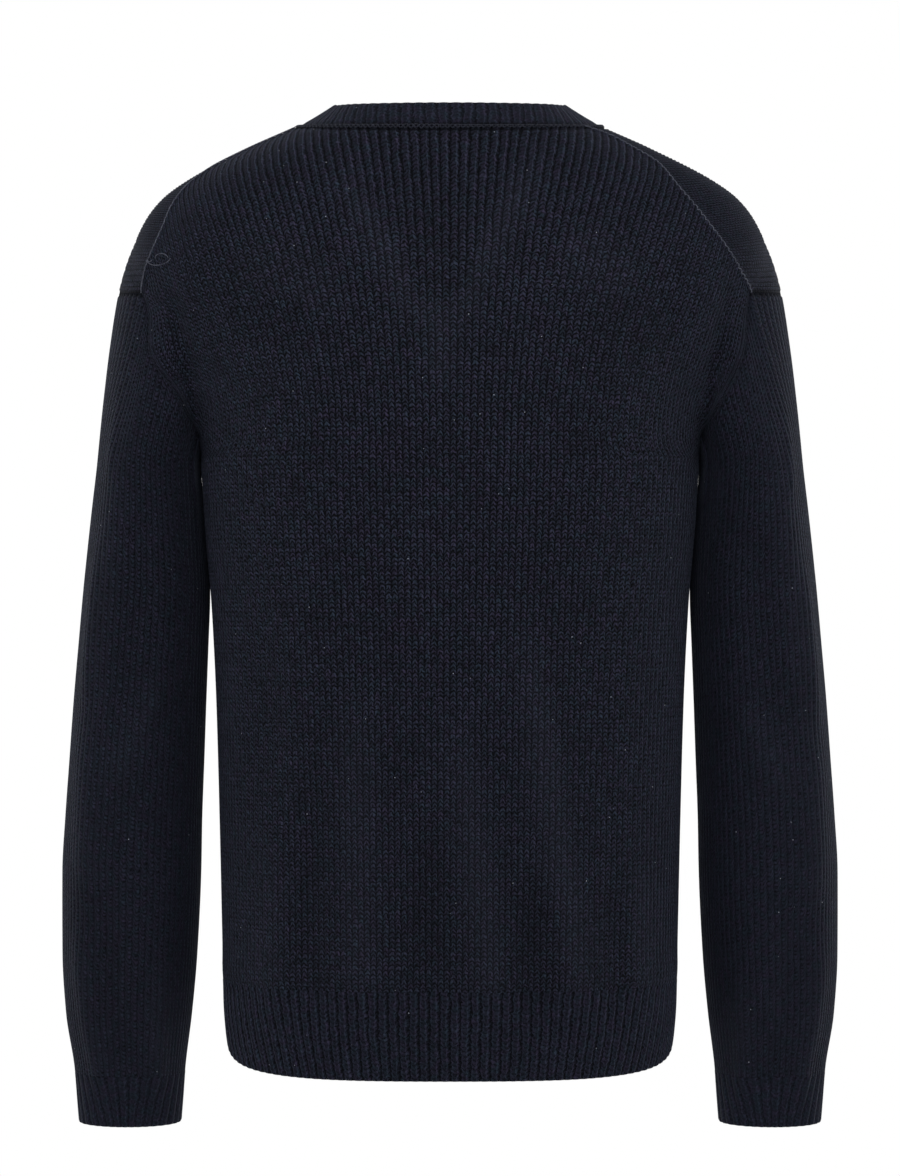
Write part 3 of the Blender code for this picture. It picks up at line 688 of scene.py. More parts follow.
def stitch_group(name, purl):
    """Height and tone of the stitches: plain ones are arches, purl ones lie across. The tone is
    painted light and shade: light on the crown of each leg, shade in the gaps and at the wale edges.
    """
    sockets = {"Knit": "Vector", "Place": "Vector", "Drawn": "Float", "Contrast": "Float"}
    group, n, given, out = new_group(name, sockets, {"Height": "Float", "Tone": "Float"})
    knit, place, lines, contrast = given.outputs[:4]
    strayed = n.vector("MULTIPLY_ADD", n.noise(place, 90.0, 2.0)[1], WANDER, knit)
    strayed = n.vector("MULTIPLY_ADD", n.noise(place, 420.0, 1.0)[1], FIDGET, strayed)
    centre = tuple((a + b) / 2 for a, b in zip(WANDER, FIDGET, strict=True))
    split = n.add("ShaderNodeSeparateXYZ", {0: n.vector("SUBTRACT", strayed, centre)})
    across = n.math("FRACT", split.outputs[0])
    aside = n.math("MULTIPLY", n.math("ABSOLUTE", n.math("SUBTRACT", across, 0.5)), 2.0)
    edge = n.math("POWER", aside, 4.0)
    if purl:
        lifted = n.math("MULTIPLY", n.math("GREATER_THAN", aside, 0.5), 0.5)
        climb = n.math("ADD", split.outputs[1], lifted)
        leg = n.math("ABSOLUTE", n.math("SINE", n.math("MULTIPLY", aside, 2 * np.pi)))
        leg = n.blend(0.35, 1.0, leg)
    else:
        climb = n.math("MULTIPLY_ADD", n.math("POWER", aside, 1.5), ARCH, split.outputs[1])
        leg = n.math("SUBTRACT", 1.0, edge)
    both = n.math("ABSOLUTE", n.math("SINE", n.math("MULTIPLY", across, 2 * np.pi)))
    both = n.blend(n.math("POWER", both, 0.8), SPLIT, 1.0)
    hump = n.math("SINE", n.math("MULTIPLY", n.math("FRACT", climb), np.pi))
    halves = n.math("FLOOR", n.math("MULTIPLY", split.outputs[0], 2.0))
    cell = n.add("ShaderNodeCombineXYZ", {0: halves, 1: n.math("FLOOR", climb)})
    chance = n.add("ShaderNodeTexWhiteNoise", {0: cell.outputs[0]}, noise_dimensions="2D")
    # painted shade on one leg of every stitch
    leg_shade = n.blend(n.math("GREATER_THAN", across, 0.5), 1.0, PAINTED_LEG_SHADE)
    lit = n.math("MULTIPLY", n.math("MULTIPLY", n.math("POWER", hump, 2.5), leg), leg_shade)
    lit = n.math("MULTIPLY", n.math("MULTIPLY", lit, both), n.blend(chance.outputs[0], 0.3, 1.3))
    # painted shade in the gaps between stitches and at the wale edges
    gap_shade = n.math("MULTIPLY", n.math("POWER", n.math("SUBTRACT", 1.0, hump), 2.0), STITCH_GAP_SHADE)
    stitch = n.math("MULTIPLY_ADD", lit, STITCH_LIGHT, n.math("MULTIPLY", edge, -0.2))
    stitch = n.math("SUBTRACT", stitch, gap_shade)
    level = n.add("ShaderNodeSeparateXYZ", {0: place}).outputs[2]
    drawn = n.add("ShaderNodeMapRange", {0: level, 1: DRAWN_FROM, 2: DRAWN_TO}).outputs[0]
    drawn = n.math("MAXIMUM", drawn, lines)
    # painted highlight along one side of each wale or rib where the knit is drawn in, and painted
    # shade at its edges
    ridge = n.math("ABSOLUTE", n.math("SUBTRACT", across, 0.32))
    ridge = n.clamp(n.math("MULTIPLY_ADD", ridge, -9.5, 1.0))
    second = n.math("ABSOLUTE", n.math("SUBTRACT", across, 0.82))
    second = n.clamp(n.math("MULTIPLY_ADD", second, -9.5, 1.0))
    ridge = n.math("MAXIMUM", ridge, n.math("MULTIPLY", second, n.math("MULTIPLY", lines, 0.75)))
    line = n.math("MULTIPLY_ADD", ridge, 0.7, n.math("MULTIPLY", edge, -0.22))
    line = n.math("MULTIPLY_ADD", stitch, 0.4, line)
    fuzz = n.math("SUBTRACT", n.noise(place, 1200.0, 3.0)[0], 0.5)
    tone = n.blend(drawn, stitch, line)
    calm = n.add("ShaderNodeMapRange", {0: level, 1: CALM_FROM, 2: CALM_TO, 3: 1.0, 4: CALM})
    contrast = n.math("MULTIPLY", contrast, calm.outputs[0])
    tone = n.math("MULTIPLY_ADD", tone, contrast, BASE_TONE)
    tone = n.math("MULTIPLY_ADD", fuzz, FUZZ, tone)
    height = n.math("MULTIPLY", leg, n.blend(0.55, 1.0, n.math("POWER", hump, 0.7)))
    height = n.blend(drawn, height, n.math("MULTIPLY_ADD", ridge, 0.7, n.math("MULTIPLY", edge, -0.4)))
    height = n.math("MULTIPLY", n.math("MULTIPLY_ADD", fuzz, 0.4, height), contrast)
    n.tree.links.new(height, out.inputs["Height"])
    n.tree.links.new(tone, out.inputs["Tone"])
    return group


def lint_group():
    """A few pale specks of lint, and the slow change of tone of worn yarn."""
    group, n, given, out = new_group("lint", {"Place": "Vector"}, {"Speck": "Float", "Cloud": "Float"})
    dots = n.add("ShaderNodeTexVoronoi", {"Vector": given.outputs[0], "Scale": 100.0})
    near = n.math("LESS_THAN", dots.outputs["Distance"], 0.036)
    rare = n.add("ShaderNodeSeparateXYZ", {0: dots.outputs["Color"]})
    few = n.math("GREATER_THAN", rare.outputs[0], 0.55)
    n.tree.links.new(n.math("MULTIPLY", near, few), out.inputs["Speck"])
    cloud = n.noise(given.outputs[0], 22.0, 3.0)[0]
    n.tree.links.new(cloud, out.inputs["Cloud"])
    return group


PLAIN_STITCH = stitch_group("plain_stitch", purl=False)
PURL_STITCH = stitch_group("purl_stitch", purl=True)
LINT_GROUP = lint_group()


def yarn(name, stitch, contrast=1.0, drawn=0.0):
    """Navy wool in a stitch that shows as arches, or as lines where the knit is drawn in."""
    material = bpy.data.materials.new(name)
    material.use_nodes = True
    n = Nodes(material.node_tree)
    shader = material.node_tree.nodes["Principled BSDF"]
    shader.inputs["Sheen Weight"].default_value = SHEEN
    shader.inputs["Sheen Roughness"].default_value = 0.3
    shader.inputs["Sheen Tint"].default_value = (0.62, 0.72, 1, 1)
    shader.inputs["Specular IOR Level"].default_value = SHINE
    knit = n.add("ShaderNodeUVMap", uv_map="knit").outputs[0]
    place = n.add("ShaderNodeTexCoord").outputs["Object"]
    given = {0: knit, 1: place, 2: drawn, 3: contrast}
    stitches = n.add("ShaderNodeGroup", given, node_tree=stitch)
    lint = n.add("ShaderNodeGroup", {0: place}, node_tree=LINT_GROUP)
    seam = n.add("ShaderNodeAttribute", attribute_name="seam").outputs["Fac"]
    tone = n.math("MULTIPLY", stitches.outputs[1], n.blend(lint.outputs[1], 0.75, 1.25))
    hue = n.math("MULTIPLY_ADD", n.noise(place, 190.0, 2.0)[0], 3.0, -1.0)
    hue = n.mix(n.clamp(hue), VIOLET_NAVY, TEAL_NAVY)
    colour = n.mix(n.clamp(tone), DEEP_NAVY, hue)
    # pale seams, and painted highlights on fold ridges
    colour = n.mix(n.clamp(seam), colour, PALE_SEAM_AND_HIGHLIGHT_NAVY)
    # dark seam lines, and painted shade in fold troughs and on the shoulder caps
    colour = n.mix(n.clamp(n.math("MULTIPLY", seam, -0.85)), colour, DEEP_NAVY)
    colour = n.mix(lint.outputs[0], colour, LINT)
    n.tree.links.new(colour, shader.inputs["Base Color"])
    roughness = n.math("SUBTRACT", 0.95, n.math("MULTIPLY", stitches.outputs[0], 0.15))
    n.tree.links.new(roughness, shader.inputs["Roughness"])
    bump = n.add("ShaderNodeBump", {0: 1.0, 1: YARN_RELIEF, "Height": stitches.outputs[0]})
    n.tree.links.new(bump.outputs[0], shader.inputs["Normal"])
    return material


PLAIN = yarn("plain_knit_navy", PLAIN_STITCH)
PURL = yarn("purl_side_navy", PURL_STITCH)


def back_cloth(side):
    return panel_half(1, side, BACK_WALES, armhole_back(side), SHOULDER_CORNER, back_tops(side))


back = whole(back_cloth(LEFT), back_cloth(RIGHT))
neck_angles = np.linspace(np.pi / 2, shoulder_seam(LEFT)[0, 0], 300)
neck_places = np.stack([neck_angles, neck_level(neck_angles)], axis=1)
back_neck_seam = [seam_line(side, neck_places) for side in (LEFT, RIGHT)]
back_seams = [seam_line(side, shoulder_seam(side)) for side in (LEFT, RIGHT)]
back_armholes = [seam_line(side, armhole_back(side)[80:]) for side in (LEFT, RIGHT)]
side_seams = [side_seam(side) for side in (LEFT, RIGHT)]
back_marks, back_tones = seam_marks(
    back[0],
    (back_seams, RAISED),
    (back_armholes, SEWN),
    (back_neck_seam, LINKED),
    (side_seams, GROOVED),
)
back_folds = trunk_folds(back[0], BACK_FOLDS)
back_relief = back_folds + blousing(back[0]) + wale_relief(back[2], back[0][..., 2]) + back_marks
# tones of the seam marks, plus the painted light and shade of the folds
back_wall = with_wall(back, back_relief, back_tones + fold_painted_light_and_shade(back_folds))
back_piece = knit_piece("back_panel_knit", [PLAIN, PURL], back_wall)
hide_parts("back_panel")


# ---------------------------------------------------------------------------------------------
# The front panel. Plain knit like the back, open in a V down to the breastbone. Its shoulders
# run over the top and end on the back, so the shoulder seam shows only from behind.
# ---------------------------------------------------------------------------------------------
FRONT_WALES = 55
V_POINT = -0.181
OVERLAP_ROWS = 12
CAP_FROM = -0.05
CAP_PAINTED_SHADE = -0.14  # painted shade: the cloth is painted darker where the shoulder turns down to the sleeve
FRONT_SEAM = table(
    "level distance",
    (-0.1205, 0.2358),
    (-0.1250, 0.2330),
    (-0.1350, 0.2275),
    (-0.1480, 0.2200),
    (-0.1620, 0.2120),
    (-0.1750, 0.2045),
    (-0.1856, 0.1975),
    (-0.1985, 0.1895),
    (-0.2120, 0.1825),
    (-0.2250, 0.1767),
)
FRONT_FOLDS = table(
    "top_x top_z end_x end_z width height",
    (0.030, -0.200, 0.020, -0.420, 0.020, 0.0026),
    (-0.060, -0.340, -0.040, -0.650, 0.013, 0.0034),
    (-0.030, -0.430, -0.012, -0.640, 0.012, -0.0034),
    (0.052, -0.420, 0.070, -0.650, 0.013, 0.0032),
    (0.090, -0.480, 0.104, -0.640, 0.011, -0.0026),
    (0.120, -0.250, 0.132, -0.450, 0.018, 0.0024),
    (-0.130, -0.230, -0.105, -0.330, 0.016, -0.0026),
    (-0.150, -0.200, -0.110, -0.280, 0.014, 0.0026),
    (0.150, -0.205, 0.108, -0.290, 0.014, 0.0024),
    (-0.115, -0.470, -0.124, -0.640, 0.011, 0.0026),
    (0.010, -0.520, 0.014, -0.650, 0.011, 0.0020),
)


def armhole_front():
    seen = seam_places(FRONT_SEAM, "distance", SEAM_HIDDEN_BELOW, FRONT_SEAM["level"][0])
    end = np.array([(0, SHOULDER_END)])
    return np.concatenate([fold_under_arm(seen[0]), seen, end]) * (-1, 1)


def shoulder_ridge():
    levels = np.linspace(0, SHOULDER_END, 400)
    return np.stack([0 * levels, levels], axis=1)


def shoulder_end_edge(side):
    """Round the back of the arm, from the ridge to the corner of the shoulder seam."""
    return np.linspace((0, SHOULDER_END), shoulder_seam(side)[-1], 40)


def neck_side(side):
    return np.linspace((0, 0), shoulder_seam(side)[0], 40)


def v_line(share, top_x, top, point):
    """A straight side of the V: share 0 is at the side of the neck and 1 at the point."""
    levels = top + (point - top) * share
    return np.stack([-angle_at(top_x * (1 - share), levels), levels], axis=1)


def v_seam():
    return v_line(np.linspace(1, 0, 400), read(ARM, "outer", 0), 0, V_POINT)


def front_tops(underarm, edge):
    """The level at which each wale of the front ends at the V, or comes over the shoulder."""
    levels = np.linspace(V_POINT, 0, 400)
    opening = np.interp(levels, v_seam()[:, 1], unroll(-1, v_seam()))
    ridge = np.array([section_at(-1, z)[-1] for z in levels])
    tops = []
    for i in range(len(underarm)):
        lengths = [wale_lengths(underarm, edge, z, SHOULDER_END)[i] for z in levels[::8]]
        lengths = np.interp(levels, levels[::8], lengths)
        at_opening = levels[np.argmax(opening >= lengths)] if (opening >= lengths).any() else 0
        j = max(np.argmax(opening >= lengths), 1)
        if at_opening < 0:
            a, b = (opening - lengths)[j - 1], (opening - lengths)[j]
            at_opening = levels[j - 1] + (levels[j] - levels[j - 1]) * a / (a - b)
        above = levels >= SHOULDER_END
        at_ridge = np.interp(0, (lengths - ridge)[above], levels[above])
        tops.append(min(at_opening, at_ridge) if at_opening < 0 else at_ridge)
    tops[0] = V_POINT
    tops[-1] = SHOULDER_END
    return np.array(tops)


def front_half(side):
    return panel_half(-1, side, FRONT_WALES, armhole_front(), SHOULDER_END, front_tops)


def front_overlap(side, panel):
    """The part of the front that lies over the shoulder and ends at the seam on the back."""
    points, directions, wales, rows = mirrored(side, panel)
    over = np.flatnonzero(np.abs(points[-1, :, 1]) < 2e-4)
    over = over[np.append(np.diff(points[-1, over, 2]) < 0, True)]
    levels = points[-1, over, 2]
    ridge = np.stack([0 * levels, levels], axis=1)
    seam = shoulder_seam(side)
    along = lengths_along(shoulder_point(0 * levels, levels))
    seam_along = lengths_along(shoulder_point(seam[:, 0], seam[:, 1]))
    wanted = along / along[-1] * seam_along[-1]
    seam = np.stack([np.interp(wanted, seam_along, seam[:, k]) for k in (0, 1)], axis=1)
    share = seam_shares(0.025, OVERLAP_ROWS, SEAM_ROWS)[:, None, None]
    places = (1 - share) * ridge + share * seam
    points = shoulder_point(places[..., 0], places[..., 1])
    directions = outward(shoulder_point, places[..., 0], places[..., 1])
    directions[0] = mirrored(side, panel)[1][-1, over]
    counts = np.broadcast_to(wales[-1, over] * 2, points.shape[:2])
    return mirrored(side, (points, directions, counts, rows[-1, over] + courses(points)))


front_halves = {side: front_half(side) for side in (LEFT, RIGHT)}
overlaps = [front_overlap(side, front_halves[side]) for side in (LEFT, RIGHT)]
front = whole(front_halves[LEFT], front_halves[RIGHT])
v_lines = [seam_line(side, v_seam()) for side in (LEFT, RIGHT)]
side_necks = [seam_line(side, neck_side(side)) for side in (LEFT, RIGHT)]
front_armholes = [seam_line(side, armhole_front()[80:]) for side in (LEFT, RIGHT)]
sleeve_heads = [seam_line(side, shoulder_end_edge(side)) for side in (LEFT, RIGHT)]


front_marks = (
    (v_lines + side_necks, LINKED),
    (front_armholes + sleeve_heads, OVERLOCKED),
    (back_seams, RAISED),
    (back_armholes, SEWN),
    (side_seams, GROOVED),
)


def front_wall(cloth, wales):
    marks, tones = seam_marks(cloth[0], *front_marks)
    folds = trunk_folds(cloth[0], FRONT_FOLDS)
    relief = wales + folds + blousing(cloth[0]) + marks
    # tones of the seam marks, plus the painted light and shade of the folds
    return with_wall(cloth, relief, tones + fold_painted_light_and_shade(folds))


front_cloths = [front_wall(front, wale_relief(front[2], front[0][..., 2]))]
for cloth in overlaps:
    split = smoothstep(np.linspace(0, 4, OVERLAP_ROWS + 1))[:, None]
    levels = cloth[0][..., 2]
    wales = wale_relief(cloth[2] / 2, levels) * (1 - split) + wale_relief(cloth[2], levels) * split
    *wall, tones = front_wall(cloth, wales)
    # painted shade on the overlap where it turns down over the shoulder
    turned_down = smoothstep((CAP_FROM - levels) / (CAP_FROM - SHOULDER_END))
    front_cloths.append((*wall, tones + CAP_PAINTED_SHADE * split * turned_down))
front_piece = knit_piece("front_panel_knit", [PLAIN, PURL], *front_cloths)
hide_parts("front_panel")


# ---------------------------------------------------------------------------------------------
# The hem ribs. A one-by-one rib of 6 cm knitted on to each panel, closed at the side seams. It
# draws in a little, so the panels blouse over it, and its lower edge is bowed.
# ---------------------------------------------------------------------------------------------
RIB_CLOTH = 0.004
HEM_CLIMB = 0.019
HEM_RIBS = 31  # on half of a panel
COLUMNS_PER_RIB = 8
HEM_ROWS = 14
RIB_DEPTH = 0.00035
HEM_TONE = -0.02
HEM_LEANS_IN = 0.09  # towards the corners the ribs lean in by this share of the width
EDGE_ROWS = (0.0004, 0.001, 0.002)


def rib_relief(ribs, depth=RIB_DEPTH):
    return depth * (1 - 2 * np.abs(np.cos(np.pi * ribs)) ** 3)


def ribbed_wall(cloth, relief, from_edge, tones=None):
    """A ribbed wall whose free edge is rounded, from each place's distance to that edge."""
    points, directions, ribs, rows = cloth
    tones = np.zeros_like(relief) if tones is None else tones
    half = RIB_CLOTH / 2
    inset = half * (1 - np.sqrt(1 - np.clip(1 - from_edge / half, 0, 1) ** 2))
    outer = points + directions * (relief - inset)[..., None]
    inner = points + directions * (relief + inset - RIB_CLOTH)[..., None]
    return outer, inner, ribs, rows, tones


def hem_half(face, side):
    columns = HEM_RIBS * COLUMNS_PER_RIB
    share = np.linspace(0, 1, columns + 1)
    down = seam_shares(HEM_JOIN - HEM_EDGE, HEM_ROWS, EDGE_ROWS)[:, None]
    levels = HEM_JOIN + (HEM_EDGE - HEM_JOIN) * down
    leaning = share - HEM_LEANS_IN * down * share**2 * np.sin(np.pi * share)
    angles = [
        np.interp(lean, share, ring_angles(face, level, columns))
        for lean, level in zip(leaning, levels[:, 0], strict=True)
    ]
    angles = np.array(angles)
    climbing = levels + HEM_CLIMB * down * leaning**5
    points = trunk_point(angles, climbing)
    directions = outward(trunk_point, angles, climbing)
    counts = np.broadcast_to(share * HEM_RIBS, points.shape[:2])
    return mirrored(side, (points, directions, counts, courses(points)))


HEM_RIB = yarn("hem_rib_navy", PLAIN_STITCH, contrast=1.0, drawn=0.9)
hem_pieces = []
for name, face, folds in (("hem_rib_back", 1, BACK_FOLDS), ("hem_rib_front", -1, FRONT_FOLDS)):
    hem = whole(hem_half(face, LEFT), hem_half(face, RIGHT))
    folds = trunk_folds(hem[0], folds)
    from_edge = (hem[3][-1] - hem[3]) * COURSE
    relief = folds + blousing(hem[0]) + rib_relief(hem[2])
    # the folds' painted light and shade, and a slightly darker rib
    wall = ribbed_wall(hem, relief, from_edge, fold_painted_light_and_shade(folds) + HEM_TONE)
    piece = knit_piece(name + "_knit", [HEM_RIB], wall)
    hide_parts(name)


# ---------------------------------------------------------------------------------------------
# The sleeves. Tubes of plain knit set on the dropped armholes. They hang beside the trunk,
# slightly forward, with soft folds at the elbow and short gathers above the cuff.
# ---------------------------------------------------------------------------------------------
SLEEVE_WALES = 72
SLEEVE_ROWS = 104
CUFF_JOIN = -0.6785
CUFF_EDGE = -0.7155
SLEEVE_SETTLES = 0.12  # below the armhole the sleeve takes its own shape over this length
SLEEVE_RADIUS = 0.048
# turns are in metres round the arm from its outermost line, so that folds keep their size
SLEEVE_FOLDS = table(
    "top_x top_z end_x end_z width height",
    (0.033, -0.150, 0.046, -0.262, 0.0055, 0.0022),
    (0.037, -0.280, 0.033, -0.430, 0.0070, 0.0020),
    (0.060, -0.180, 0.035, -0.420, 0.016, 0.0024),
    (0.085, -0.250, 0.065, -0.430, 0.013, -0.0026),
    (0.030, -0.400, 0.050, -0.560, 0.013, 0.0026),
    (0.100, -0.380, 0.062, -0.480, 0.011, 0.0026),
    (0.055, -0.520, 0.080, -0.690, 0.010, -0.0030),
    (0.035, -0.560, 0.052, -0.700, 0.009, 0.0026),
    (0.100, -0.580, 0.105, -0.700, 0.009, 0.0028),
    (-0.040, -0.200, -0.050, -0.440, 0.016, 0.0026),
    (-0.075, -0.300, -0.055, -0.430, 0.012, -0.0030),
    (-0.085, -0.420, -0.040, -0.500, 0.010, 0.0034),
    (-0.060, -0.460, -0.020, -0.530, 0.010, -0.0030),
    (-0.045, -0.560, -0.060, -0.700, 0.010, 0.0030),
    (-0.080, -0.570, -0.090, -0.700, 0.009, -0.0028),
    (-0.110, -0.560, -0.115, -0.700, 0.009, 0.0026),
)


def armhole_ring(side):
    """All round the armhole: up the back from the underarm, over the arm, down the front."""
    over = shoulder_end_edge(side)[::-1]
    return np.concatenate([armhole_back(side), over[1:], armhole_front()[::-1][1:]])


def even_turns(level, count):
    dense = np.linspace(np.pi, -np.pi, 1201)
    along = lengths_along(arm_point(dense, level))
    return np.interp(np.linspace(0, along[-1], count + 1), along, dense)


def sleeve_folds(turns, levels, side):
    around = turns * SLEEVE_RADIUS
    height = fold_height(SLEEVE_FOLDS, around, levels + 0.012 * (side < 0))
    return height * smoothstep((SHOULDER_END - 0.06 - levels) / 0.08)


def sleeve(side):
    columns = SLEEVE_WALES * COLUMNS_PER_WALE
    ring = walk(armhole_ring(side), columns)
    ring_turn = turn_at(ring[:, 0], ring[:, 1])
    ring_turn[0], ring_turn[-1] = np.pi, -np.pi
    edge = shoulder_point(ring[:, 0], ring[:, 1])
    edge_out = outward(shoulder_point, ring[:, 0], ring[:, 1])
    edge_out = armhole_out(edge, edge_out, ring)
    start = ring[:, 1]
    down = seam_shares(start.mean() - CUFF_JOIN, SLEEVE_ROWS, SEAM_ROWS)
    down = (1 - down[::-1])[:, None]
    levels = start + (CUFF_JOIN - start) * down
    settled = smoothstep((start - levels) / SLEEVE_SETTLES)
    turns = ring_turn + (even_turns(-0.4, columns) - ring_turn) * settled
    pull = edge - arm_point(ring_turn, start)
    fade = (1 - settled)[..., None] ** 2
    points = arm_point(turns, levels) + pull * fade
    directions = outward(arm_point, turns, levels)
    directions = directions + (edge_out - directions) * fade**2
    directions /= np.linalg.norm(directions, axis=-1, keepdims=True)
    counts = np.broadcast_to(np.linspace(0, SLEEVE_WALES, columns + 1), turns.shape)
    cloth = mirrored(side, (points, directions, counts, courses(points)))
    return cloth, sleeve_folds(turns, levels, side)


SLEEVE_KNIT = yarn("sleeve_knit_navy", PLAIN_STITCH, contrast=0.5)
# share of the folds' painted light and shade that the sleeves get
SLEEVE_FOLD_PAINTED_SHADING = 0.6
for side, side_name in SIDE_NAMES.items():
    cloth, folds = sleeve(side)
    folds = folds + arm_creases(cloth[0])
    marks, tones = seam_marks(cloth[0], *front_marks[1:4])
    relief = folds + wale_relief(cloth[2], cloth[0][..., 2]) + marks
    # tones of the seam marks, plus part of the folds' painted light and shade
    wall = with_wall(cloth, relief, tones + fold_painted_light_and_shade(folds) * SLEEVE_FOLD_PAINTED_SHADING)
    piece = knit_piece(f"sleeve_{side_name}_knit", [SLEEVE_KNIT, PURL], wall)
    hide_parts("sleeve_" + side_name)


# ---------------------------------------------------------------------------------------------
# The cuffs. Short one-by-one ribs that draw the sleeves in at the wrist, open at the end.
# ---------------------------------------------------------------------------------------------
CUFF_RIBS = 33
CUFF_ROWS = 12
CUFF_LEANS_IN = 0.2  # turns, in radians, by which the ribs lean towards the middle
CUFF_RIB = yarn("cuff_rib_navy", PLAIN_STITCH, contrast=0.5, drawn=0.8)


def cuff(side):
    columns = CUFF_RIBS * COLUMNS_PER_RIB
    down = seam_shares(CUFF_JOIN - CUFF_EDGE, CUFF_ROWS, EDGE_ROWS)[:, None]
    levels = CUFF_JOIN + (CUFF_EDGE - CUFF_JOIN) * down
    turns = even_turns(-0.4, columns)
    turns = turns + CUFF_LEANS_IN * down * np.sin(2 * turns)
    turns, levels = np.broadcast_arrays(turns, levels)
    points = arm_point(turns, levels)
    directions = outward(arm_point, turns, levels)
    counts = np.broadcast_to(np.linspace(0, CUFF_RIBS, columns + 1), turns.shape)
    cloth = mirrored(side, (points, directions, counts, courses(points)))
    return cloth, sleeve_folds(turns, levels, side) * (1 - down)


for side, side_name in SIDE_NAMES.items():
    cloth, folds = cuff(side)
    from_edge = (cloth[3][-1] - cloth[3]) * COURSE
    wall = ribbed_wall(cloth, folds + rib_relief(cloth[2]), from_edge)
    piece = knit_piece(f"cuff_{side_name}_knit", [CUFF_RIB], wall)
    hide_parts("cuff_" + side_name)


# ---------------------------------------------------------------------------------------------
# The neckband. A one-by-one rib strip linked all round the neck. It stands up behind, leans in
# at the sides and is mitred at the point of the V.
# ---------------------------------------------------------------------------------------------
BAND_RIBS = 48  # from the middle of the back to the point of the V
BAND_ROWS = 12
BAND_POINT = -0.138
BAND_RISE_AT_BACK = 0.0190
BAND_RISE_AT_SIDE = 0.0160
BAND_RISES_OVER = np.radians(55)
BAND_RIB_DEPTH = 0.00016
# at the sides its top is this much shorter than its seam
BAND_DRAWS_IN = 1 - read(ARM, "outer", BAND_RISE_AT_SIDE) / read(ARM, "outer", 0)
NECK_RIB = yarn("neck_rib_navy", PLAIN_STITCH, contrast=0.52, drawn=1.0)


def band_half(side):
    behind = np.linspace(np.pi / 2, shoulder_seam(side)[0, 0], 200)
    behind = np.stack([behind, neck_level(behind)], axis=1)
    behind = np.concatenate([behind, neck_side(side)[::-1][1:]])
    lift = smoothstep(behind[:, 0] / BAND_RISES_OVER)
    rise = BAND_RISE_AT_SIDE + (BAND_RISE_AT_BACK - BAND_RISE_AT_SIDE) * lift
    seam_x = read(ARM, "outer", behind[:, 1]) * np.cos(behind[:, 0])
    top_levels = behind[:, 1] + rise
    top_x = seam_x * (1 - BAND_DRAWS_IN * (seam_x / seam_x[-1]) ** 3)
    top_behind = np.stack([angle_at(top_x, top_levels), top_levels], axis=1)
    top_behind[-1, 0] = 0
    before = v_seam()[::-1][1:]
    share = before[:, 1] / V_POINT
    side_x = read(ARM, "outer", BAND_RISE_AT_SIDE)
    top_before = v_line(share, side_x, BAND_RISE_AT_SIDE, BAND_POINT)
    seam, edge = walk(
        np.concatenate([behind, before]),
        BAND_RIBS * COLUMNS_PER_RIB,
        np.concatenate([top_behind, top_before]),
    )
    up = seam_shares(0.024, BAND_ROWS, EDGE_ROWS)[:, None, None]
    places = (1 - up) * seam + up * edge
    points = shoulder_point(places[..., 0], places[..., 1])
    directions = outward(shoulder_point, places[..., 0], places[..., 1])
    ribs = np.linspace(0, BAND_RIBS, BAND_RIBS * COLUMNS_PER_RIB + 1)
    counts = np.broadcast_to(ribs, points.shape[:2])
    return mirrored(side, (points, directions, counts, courses(points)))


band_left, band_right = band_half(LEFT), band_half(RIGHT)
band = tuple(
    np.concatenate([a, b[:, ::-1][:, 1:]], axis=1)
    for a, b in zip(band_left, band_right, strict=True)
)
from_edge = (band[3][-1] - band[3]) * COURSE
neck_lines = back_neck_seam + v_lines + side_necks
marks, tones = seam_marks(band[0], (neck_lines, LINKED))
wall = ribbed_wall(band, rib_relief(band[2], BAND_RIB_DEPTH) + marks, from_edge, tones)
band_piece = knit_piece("neckband_knit", [NECK_RIB], wall)
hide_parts("neckband")


# ---------------------------------------------------------------------------------------------
# The linking threads. The neckband is linked on with a chain of doubled yarn. A finer one closes
# each back seam and stands a little proud; one of its stitches has been pulled out into a loop.
# ---------------------------------------------------------------------------------------------
POINTS_PER_LOOP = 10
NECK_CHAIN = dict(loop=0.0072, sway=0.0013, lift=0.0004)
SEAM_CHAINS = {
    LEFT: dict(loop=0.0052, sway=0.00022, lift=0.0011),
    RIGHT: dict(loop=0.0046, sway=0.0006, lift=0.0011),
}
NECK_YARN, SEAM_YARN, PULLED_YARN = 0.0006, 0.0004, 0.0003  # radii
PULLED_FROM = -0.0995
# each loop of the pulled yarn: its start from the seam, its width and how far it hangs
PULLED_LOOPS = table(
    "start width drop", (0, 0.0165, 0.0046), (0.0055, 0.0095, -0.0032), (-0.001, 0.0045, 0.0018)
)


def chain(line, outs, loop, sway, lift, phase=0.0):
    """A strand that weaves from side to side along a seam, loop after loop."""
    along = lengths_along(line)
    loops = round(along[-1] / loop)
    even = np.linspace(0, along[-1], loops * POINTS_PER_LOOP + 1)
    line, outs = [
        np.stack([np.interp(even, along, each[:, k]) for k in range(3)], axis=1)
        for each in (line, outs)
    ]
    across = np.cross(np.gradient(line, axis=0), outs)
    across /= np.linalg.norm(across, axis=1, keepdims=True)
    turn = 2 * np.pi * loops * even / even[-1] + phase
    uneven = 1 + 0.25 * np.sin(turn * 3 / loops) + 0.15 * np.sin(turn * 11 / loops)
    rise = lift + 0.35 * sway * np.cos(2 * turn)
    return line + across * (sway * uneven * np.sin(turn))[:, None] + outs * rise[:, None]


